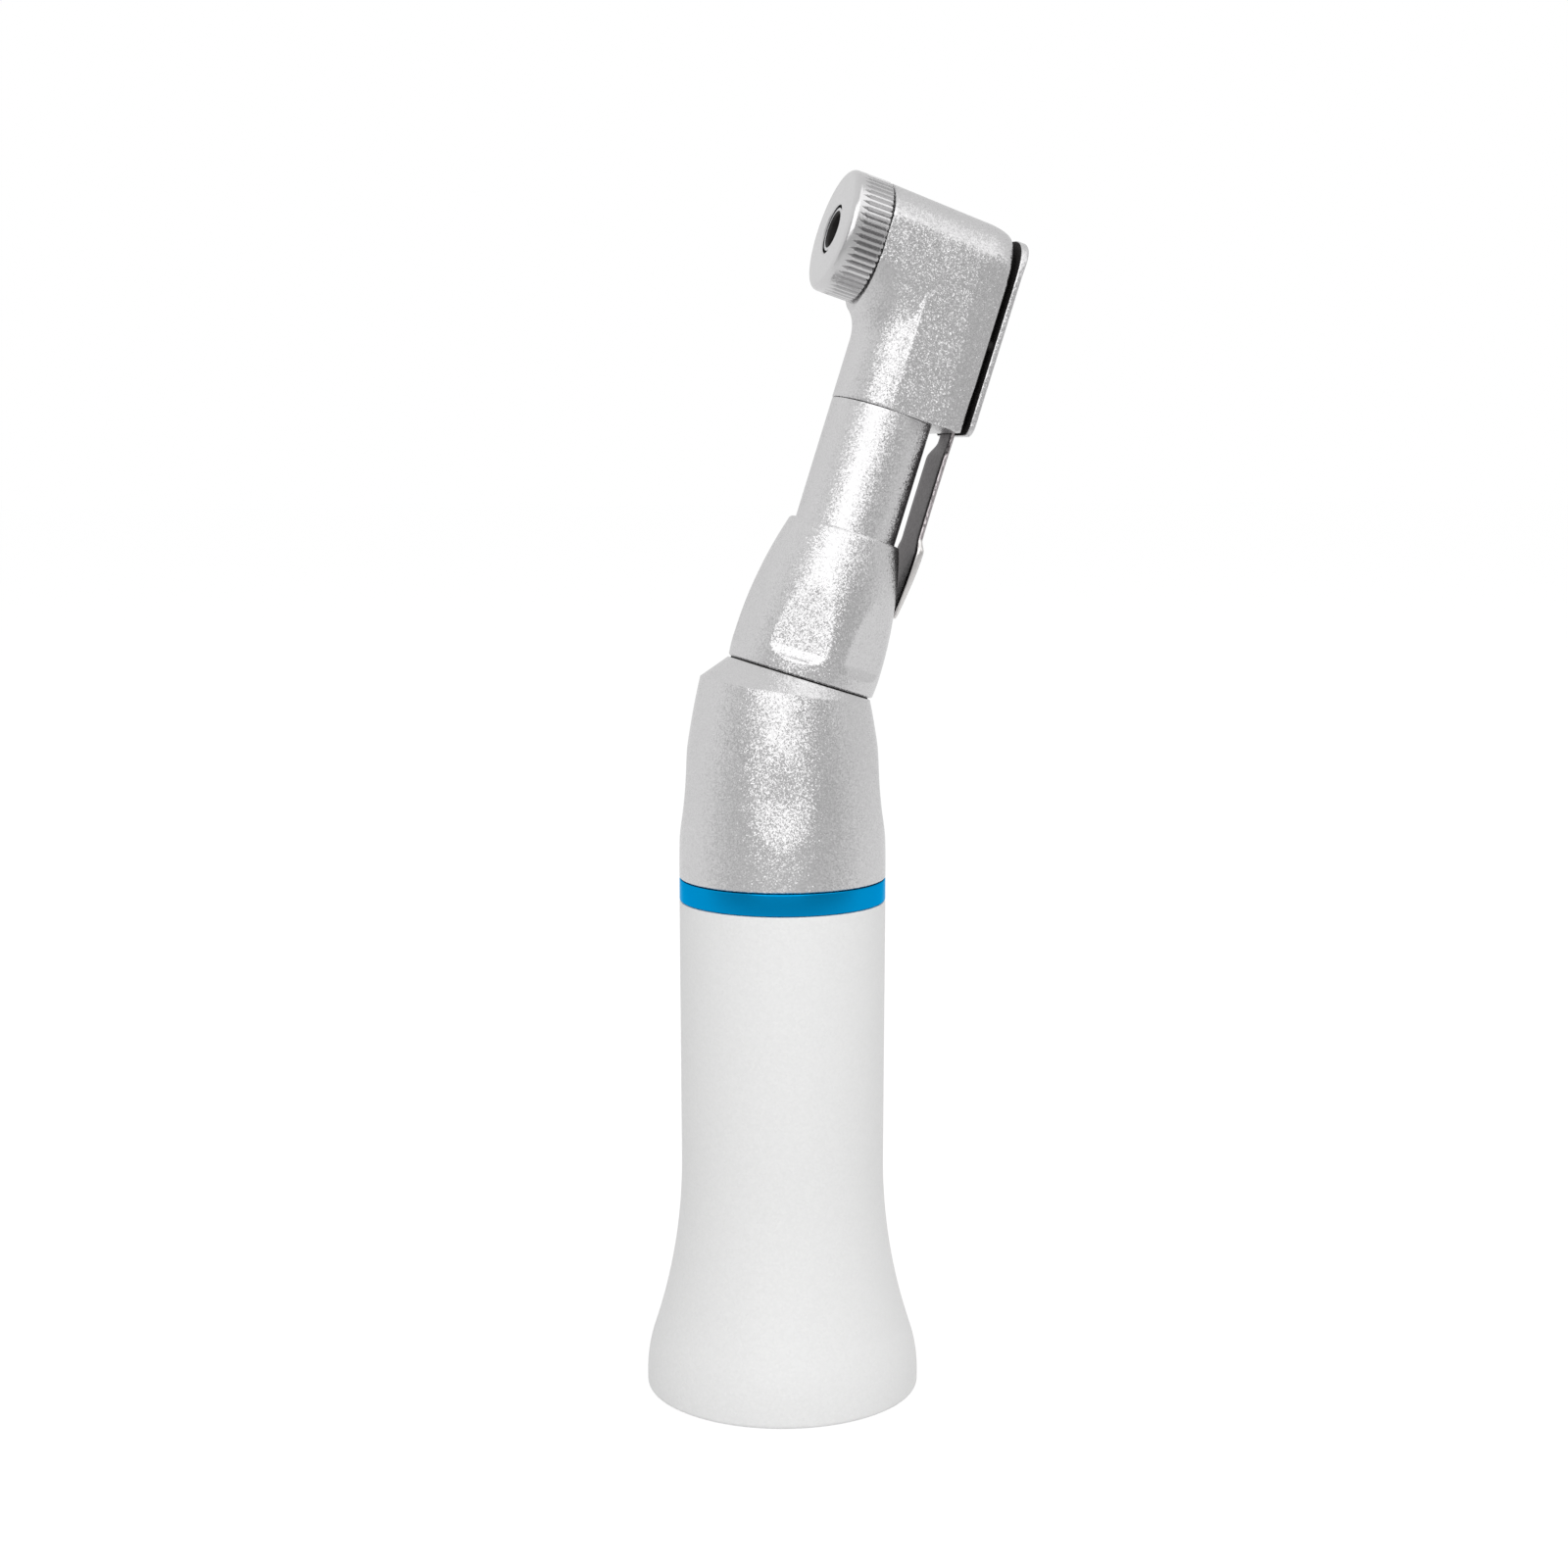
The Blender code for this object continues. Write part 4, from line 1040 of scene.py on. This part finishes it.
@dataclass
class Latch:
    """Cover plate behind the head, its pins, and the lever with its leaf-shaped finger tab."""

    axis: Axis
    half_width: float = 3.75
    cover_low: float = -11.05
    cover_top: float = 3.5
    cover_power: float = 2.8
    corner: float = 0.8
    cover_inner: float = -5.45
    cover_outer: float = -5.88
    cover_swell: float = 0.20
    swell_from: float = 0.5
    swell_over: float = 2.5
    cover_edge: float = 0.12
    cover_core: float = 0.001
    top_points: int = 49
    corner_points: int = 9
    edge_points: int = 5
    pins: Tuple[Tuple[str, float, float, float], ...] = (
        ("latch_pivot_pin", 0.5, -7.0, 0.0), ("upper_rivet", 0.4, -4.5, -2.9),
        ("lower_rivet", 0.4, -10.0, 2.9))
    pin_inner: float = -3.63
    pin_core: float = 0.01
    pin_proud: float = 0.02
    pin_crown: float = 0.05
    pin_round: float = 0.08
    pin_segments: int = 32
    thickness: float = 0.30
    tail_thickness: float = 0.33
    leaf_thickness: float = 0.52
    edge_round: float = 0.10
    slot_middle: float = -5.23
    tail_middle: float = -4.95
    tip_middle: float = -5.40
    blade_top: float = 1.2
    tip: float = -24.85
    jog_from: float = -11.6
    jog_to: float = -12.9
    leaf_from: float = -18.9
    leaf_widest: float = -19.8
    blade_half: float = 1.30
    strip_half: float = 2.05
    leaf_half: float = 2.50
    least_half: float = 0.004
    lean_power: int = 4
    fall_power: float = 1.7
    fall_round: float = 0.75
    edge_cosine: float = 0.8
    slot_margin: float = 0.02
    lever_rows: int = 170
    section_points: int = 7

    def cover_outline(self) -> np.ndarray:
        """Tombstone: a squarish half oval on top, straight sides and rounded lower corners.

        It runs anticlockwise. The oval is a superellipse, (u / a)^n + (y / b)^n = 1.

        Returns:
            Outline points, one row each.
        """
        turn = np.linspace(-np.pi / 2, np.pi / 2, self.top_points)
        power = 2 / self.cover_power
        cosine = np.abs(np.cos(turn)) ** power
        sine = np.sign(turn) * np.abs(np.sin(turn)) ** power
        parts = [np.stack([self.cover_top * cosine, self.half_width * sine], axis=-1)]
        for side, start in ((1, np.pi / 2), (-1, np.pi)):
            turn = np.linspace(start, start + np.pi / 2, self.corner_points)
            x = self.cover_low + self.corner * (1 + np.cos(turn))
            y = side * (self.half_width - self.corner) + self.corner * np.sin(turn)
            parts.append(np.stack([x, y], axis=-1))
        return np.concatenate(parts)

    def cover(self, dresser: Dresser) -> None:
        """Plate with rounded edges: rings drawn in from the outline, and a point on each face."""
        outline = self.cover_outline()
        centre = np.array([(self.cover_low + self.cover_top) / 2, 0.0])
        away = outline - centre
        unit = away / np.linalg.norm(away, axis=1)[:, None]
        turn = np.linspace(0.0, np.pi / 2, self.edge_points)
        inset = self.cover_edge * (1 - np.sin(turn))
        drop = self.cover_edge * (1 - np.cos(turn))
        rows = [(None, self.cover_inner)]
        rows += [(a, self.cover_inner - b) for a, b in zip(inset, drop)]
        rows += [(a, self.cover_outer + b) for a, b in zip(inset[::-1], drop[::-1])]
        rows.append((None, self.cover_outer))
        rings = []
        for value, height in rows:
            flat = centre + self.cover_core * away if value is None else outline - value * unit
            outside = height < (self.cover_inner + self.cover_outer) / 2
            swell = smooth_step((flat[:, 0] - self.swell_from) / self.swell_over) * outside
            rings.append(np.column_stack([flat, height - self.cover_swell * swell]))
        points, triangles = capped_tube(np.array(rings))
        made = dresser.piece("latch_plate", self.axis.place(points), triangles, Body.HOUSING,
                             Slot.SATIN, ["latch_cover"], sharp_deg=35.0)
        # Painted shade on the cover's inner face, inside the latch's slot.
        dresser.further_finish(made, dresser.painted_shade, self.behind_cover)

    def jog(self, along: np.ndarray) -> np.ndarray:
        """How far the lever has stepped from the slot out to the strip, from 0 to 1."""
        return smooth_step((self.jog_from - along) / (self.jog_from - self.jog_to))

    def widening(self, along: np.ndarray) -> np.ndarray:
        """How far the strip has widened into the leaf, from 0 to 1."""
        return smooth_step((self.leaf_from - along) / (self.leaf_from - self.leaf_widest))

    def path(self, along: np.ndarray) -> Tuple[np.ndarray, np.ndarray]:
        """Middle of the lever's thickness, and its half width, at each place along the neck.

        Args:
            along: Places along the neck, from the blade's top down to the tip.

        Returns:
            Heights on the bur's axis, and half widths.
        """
        jog = self.jog(along)
        lean = np.clip((self.jog_to - along) / (self.jog_to - self.tip), 0.0, 1.0)
        lean = lean ** self.lean_power
        height = self.slot_middle + (self.tail_middle - self.slot_middle) * jog
        height = height + (self.tip_middle - self.tail_middle) * lean
        half = self.blade_half + (self.strip_half - self.blade_half) * jog
        half = half + (self.leaf_half - self.strip_half) * self.widening(along)
        fall = np.clip((self.leaf_widest - along) / (self.leaf_widest - self.tip), 0.0, 1.0)
        half = half * np.maximum(1 - fall ** self.fall_power, 0.0) ** self.fall_round
        dome = np.clip((self.blade_top - along) / self.blade_half, 0.0, 1.0)
        half = half * np.sqrt(np.maximum(1 - (1 - dome) ** 2, 0.0))
        return height, np.maximum(half, self.least_half)

    def lever(self, dresser: Dresser) -> None:
        """Carry a flat section with round edges along the lever's path."""
        turn = np.linspace(0.0, np.pi, self.lever_rows)
        middle = (self.blade_top + self.tip) / 2
        along = middle + (self.blade_top - self.tip) / 2 * np.cos(turn)
        height, half = self.path(along)
        fall = smooth_step((self.leaf_widest - along) / (self.leaf_widest - self.tip))
        edge = (self.thickness + (self.tail_thickness - self.thickness) * self.jog(along)) / 2
        swell = self.widening(along) * (1 - fall)
        edge = edge + (self.leaf_thickness - self.tail_thickness) / 2 * swell
        height = height + self.thickness / 2 - edge
        bow = np.linspace(-np.pi / 2, np.pi / 2, self.section_points)
        flat = np.linspace(1, -1, self.section_points + 2)[1:-1]
        level = np.ones(self.section_points)
        across = np.concatenate([level, flat, -level, flat[::-1]])
        round_out = np.concatenate([np.cos(bow), 0 * level, -np.cos(bow), 0 * level])
        lift = np.concatenate([np.sin(bow), level, -np.sin(bow), -level])
        rim = np.minimum(half, self.edge_round)
        reach = np.maximum(half - rim, 0.0)[:, None] * across + rim[:, None] * round_out
        thick = np.minimum(half, edge)[:, None] * lift
        rings = np.stack([along[:, None] + 0 * reach, reach, height[:, None] + thick], axis=-1)
        points, triangles = capped_tube(rings, flipped=True)
        made = dresser.piece("finger_lever", self.axis.place(points), triangles, Body.LATCH,
                             Slot.LATCH, ["latch_lever"], sharp_deg=40.0)
        # Painted sheen: lighter metal on the lever's narrow sides, where light catches them.
        dresser.further_finish(made, dresser.edge_sheen, self.is_edge)
        # Painted highlight: brighter metal on the leaf's narrow sides.
        dresser.further_finish(made, dresser.leaf_highlight, self.is_leaf_edge)

    def behind_cover(self, centre: np.ndarray, normal: np.ndarray) -> np.ndarray:
        """True for faces between the cover and the head, in the latch's slot, which get painted
        shade.
        """
        return self.axis.local(centre)[:, 2] > self.cover_inner - self.slot_margin

    def is_edge(self, centre: np.ndarray, normal: np.ndarray) -> np.ndarray:
        """True for faces on the lever's narrow sides."""
        return np.abs(normal @ self.axis.along) < self.edge_cosine

    def is_leaf_edge(self, centre: np.ndarray, normal: np.ndarray) -> np.ndarray:
        """True for faces on the narrow sides of the leaf."""
        return self.is_edge(centre, normal) & (self.axis.local(centre)[:, 0] < self.leaf_from)

    def build(self, dresser: Dresser) -> None:
        """Make the cover, its pins and the lever."""
        self.cover(dresser)
        for node, radius, u, y in self.pins:
            corners = [(self.pin_core, self.pin_inner), (radius, self.pin_inner),
                       (radius, self.cover_outer - self.pin_proud),
                       (self.pin_core, self.cover_outer - self.pin_crown)]
            points, faces = turned(rounded(corners, self.pin_round, 3), self.pin_segments)
            shifted = points + np.array([u, y, 0.0])
            pin = dresser.piece(node + "_end", self.axis.place(shifted), faces, Body.HOUSING,
                                Slot.STEEL, [node])
            # Painted shade on the parts of each pin that lie in the latch's slot.
            dresser.further_finish(pin, dresser.painted_shade, self.behind_cover)
        self.lever(dresser)


@dataclass(frozen=True)
class Lamp:
    """A soft rectangular lamp: its place to the right, near and above in metres, size and power."""

    name: str
    place: Tuple[float, float, float]
    wide: float
    high: float
    power: float


@dataclass
class Studio:
    """Camera at the photograph's angle, a pale floor and backdrop, and soft lamps."""

    camera_at: Tuple[float, float, float] = (-0.04499, -0.17329, 0.06854)
    pitch_deg: float = 82.42
    yaw_deg: float = -14.59
    focal_px: float = 2551.3
    clip_start: float = 0.005
    aim_at: Tuple[float, float, float] = (0.003, 0.0, 0.05)
    lamps: Tuple[Lamp, ...] = (
        Lamp("key lamp", (-0.03, 0.45, 0.28), 0.58, 0.58, 1.4),
        Lamp("side lamp", (0.27, 0.17, 0.40), 0.34, 0.50, 0.36),
    )
    sky_diffuse: float = 0.59
    sky_stops: Tuple[Tuple[float, float], ...] = (
        (-1.0, 0.88), (0.0, 0.92), (0.3, 0.84), (0.65, 0.56), (1.0, 0.50))
    sky_tilt: float = 0.10
    floor_white: float = 0.85
    floor_back: float = 0.80
    floor_front: float = 0.36
    floor_fade: Tuple[float, float] = (-0.04, 0.20)
    floor_dull: float = 0.25
    floor_plain: float = 0.80
    floor_half: float = 3.0

    def view_axes(self) -> Tuple[np.ndarray, np.ndarray]:
        """Level directions to the camera's right and from the object to the camera."""
        yaw = math.radians(self.yaw_deg)
        right = np.array([math.cos(yaw), math.sin(yaw), 0.0])
        return right, np.array([math.sin(yaw), -math.cos(yaw), 0.0])

    def camera(self) -> None:
        """Set the camera from its fitted place, direction and focal length."""
        lens = bpy.data.cameras.new("camera")
        lens.lens = self.focal_px * SENSOR_MM / PHOTO_PIXELS
        lens.sensor_width = SENSOR_MM
        lens.clip_start = self.clip_start
        made = bpy.data.objects.new("camera", lens)
        made.location = self.camera_at
        made.rotation_euler = (math.radians(self.pitch_deg), 0.0, math.radians(self.yaw_deg))
        bpy.context.scene.collection.objects.link(made)
        bpy.context.scene.camera = made

    def light(self, lamp: Lamp) -> None:
        """Hang a soft lamp and aim it at the middle of the object.

        Args:
            lamp: The lamp, placed as seen from the camera.
        """
        right, towards = self.view_axes()
        across, near, up = lamp.place
        away = right * across + towards * near + np.array([0.0, 0.0, up])
        light = bpy.data.lights.new(lamp.name, "AREA")
        light.shape = "RECTANGLE"
        light.size = lamp.wide
        light.size_y = lamp.high
        light.energy = lamp.power
        made = bpy.data.objects.new(lamp.name, light)
        made.location = np.array(self.aim_at) + away
        made.rotation_euler = (math.atan2(math.hypot(away[0], away[1]), away[2]), 0.0,
                               math.atan2(-away[1], -away[0]) - math.pi / 2)
        bpy.context.scene.collection.objects.link(made)

    @staticmethod
    def seen_directly(tree: bpy.types.NodeTree) -> bpy.types.NodeSocket:
        """One for rays from the camera, a reflection or a see-through surface, else zero."""
        path = tree.nodes.new("ShaderNodeLightPath")
        mirrored = Studio.math(tree, "MAXIMUM", path.outputs["Is Glossy Ray"],
                               path.outputs["Is Transmission Ray"])
        return Studio.math(tree, "MAXIMUM", path.outputs["Is Camera Ray"], mirrored)

    @staticmethod
    def math(tree: bpy.types.NodeTree, operation: str,
             *values: bpy.types.NodeSocket) -> bpy.types.NodeSocket:
        """Add a math node that joins the given sockets, and give its result."""
        return add_node(tree, "Math", dict(enumerate(values)), operation=operation).outputs["Value"]

    @staticmethod
    def spread(tree: bpy.types.NodeTree, where: bpy.types.NodeSocket, way: np.ndarray,
               ends: Tuple[float, float], levels: Tuple[float, float],
               curve: str = "LINEAR") -> bpy.types.NodeSocket:
        """A value that goes from one level to another along a direction.

        Args:
            tree: Node tree of the world or of the floor.
            where: The looking direction, or the place on the floor.
            way: Direction that the value changes in.
            ends: How far along the direction the change starts and stops.
            levels: Values at those two ends.
            curve: Blender's name for the shape of the change.

        Returns:
            The value's socket.
        """
        front = add_node(tree, "VectorMath", {0: where, 1: way}, operation="DOT_PRODUCT")
        fade = add_node(tree, "MapRange", {
            "Value": front.outputs["Value"], "From Min": ends[0], "From Max": ends[1],
            "To Min": levels[0], "To Max": levels[1]}, interpolation_type=curve)
        return fade.outputs["Result"]

    def backdrop(self) -> None:
        """Pale surroundings: white to the camera, and greyer where only the metal sees them."""
        world = bpy.data.worlds.new("pale studio")
        world.use_nodes = True
        bpy.context.scene.world = world
        tree = world.node_tree
        right, towards = self.view_axes()
        around = (-1.0, 1.0)
        where = tree.nodes.new("ShaderNodeTexCoord").outputs["Generated"]
        front = self.spread(tree, where, towards, around, (0.0, 1.0))
        ramp = add_node(tree, "ValToRGB", {"Fac": front})
        ramp.color_ramp.interpolation = "EASE"
        stops = ramp.color_ramp.elements
        for number, (way, level) in enumerate(self.sky_stops):
            stop = stops[number] if number < 2 else stops.new(1.0)
            stop.position = (way + 1) / 2
            stop.color = grey(level)
        tilt = self.spread(tree, where, right, around, (1.0 + self.sky_tilt, 1.0 - self.sky_tilt))
        mirrored = self.math(tree, "MULTIPLY", ramp.outputs["Color"], tilt)
        choose = add_node(tree, "Mix", {
            "Factor": self.seen_directly(tree), "A": self.sky_diffuse, "B": mirrored})
        camera = tree.nodes.new("ShaderNodeLightPath").outputs["Is Camera Ray"]
        white = self.math(tree, "MAXIMUM", choose.outputs["Result"], camera)
        shader = tree.nodes["Background"]
        tree.links.new(white, shader.inputs["Strength"])
        shader.inputs["Color"].default_value = grey(1.0)

    def floor_finish(self) -> bpy.types.Material:
        """Pale floor, partly self-lit for direct rays, so that it is white and keeps its shadow."""
        pale = bpy.data.materials.new("pale floor")
        pale.use_nodes = True
        tree = pale.node_tree
        tree.nodes.remove(tree.nodes["Principled BSDF"])
        dull = add_node(tree, "BsdfDiffuse", {"Color": grey(self.floor_dull)})
        plain = add_node(tree, "BsdfDiffuse", {"Color": grey(self.floor_plain)})
        where = tree.nodes.new("ShaderNodeTexCoord").outputs["Object"]
        fade = self.spread(tree, where, self.view_axes()[1], self.floor_fade,
                           (self.floor_back, self.floor_front), "SMOOTHSTEP")
        camera = tree.nodes.new("ShaderNodeLightPath").outputs["Is Camera Ray"]
        level = add_node(tree, "Mix", {"Factor": camera, "A": fade, "B": self.floor_white})
        glow = add_node(tree, "Emission", {"Strength": level.outputs["Result"]})
        both = add_node(tree, "AddShader", {0: dull.outputs["BSDF"], 1: glow.outputs["Emission"]})
        pick = add_node(tree, "MixShader", {
            "Fac": self.seen_directly(tree), 1: plain.outputs["BSDF"], 2: both.outputs["Shader"]})
        surface = tree.nodes["Material Output"].inputs["Surface"]
        tree.links.new(pick.outputs["Shader"], surface)
        return pale

    def floor(self) -> None:
        """Plain square floor under the object."""
        half = self.floor_half
        corners = [(-half, -half, 0), (half, -half, 0), (half, half, 0), (-half, half, 0)]
        mesh = bpy.data.meshes.new("floor")
        mesh.from_pydata(corners, [], [(0, 1, 2, 3)])
        mesh.materials.append(self.floor_finish())
        made = bpy.data.objects.new("floor", mesh)
        bpy.context.scene.collection.objects.link(made)

    def build(self) -> None:
        """Set the view, the camera, the lamps, the backdrop and the floor."""
        bpy.context.scene.view_settings.view_transform = "Standard"
        self.camera()
        for lamp in self.lamps:
            self.light(lamp)
        self.backdrop()
        self.floor()


def main() -> None:
    """Build the studio and every sub-assembly round the frame."""
    logging.basicConfig(level=logging.INFO, format="%(name)s: %(message)s")
    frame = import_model()
    handle = Axis(np.zeros(3), np.array([0.0, 0.0, 1.0]))
    neck = joint_axis(frame, "neck_shaft_spin")
    bur = joint_axis(frame, "bur_drum_spin")
    dresser = Dresser()
    dresser.dress_nodes(frame)
    for part in (Handle(handle), DogSpring(handle), AngleHousing(handle, neck), LockRing(neck),
                 Neck(neck), Head(bur), Chuck(bur), Latch(bur)):
        LOG.info("building %s", type(part).__name__)
        part.build(dresser)
    Studio().build()


if __name__ == "__main__":
    main()
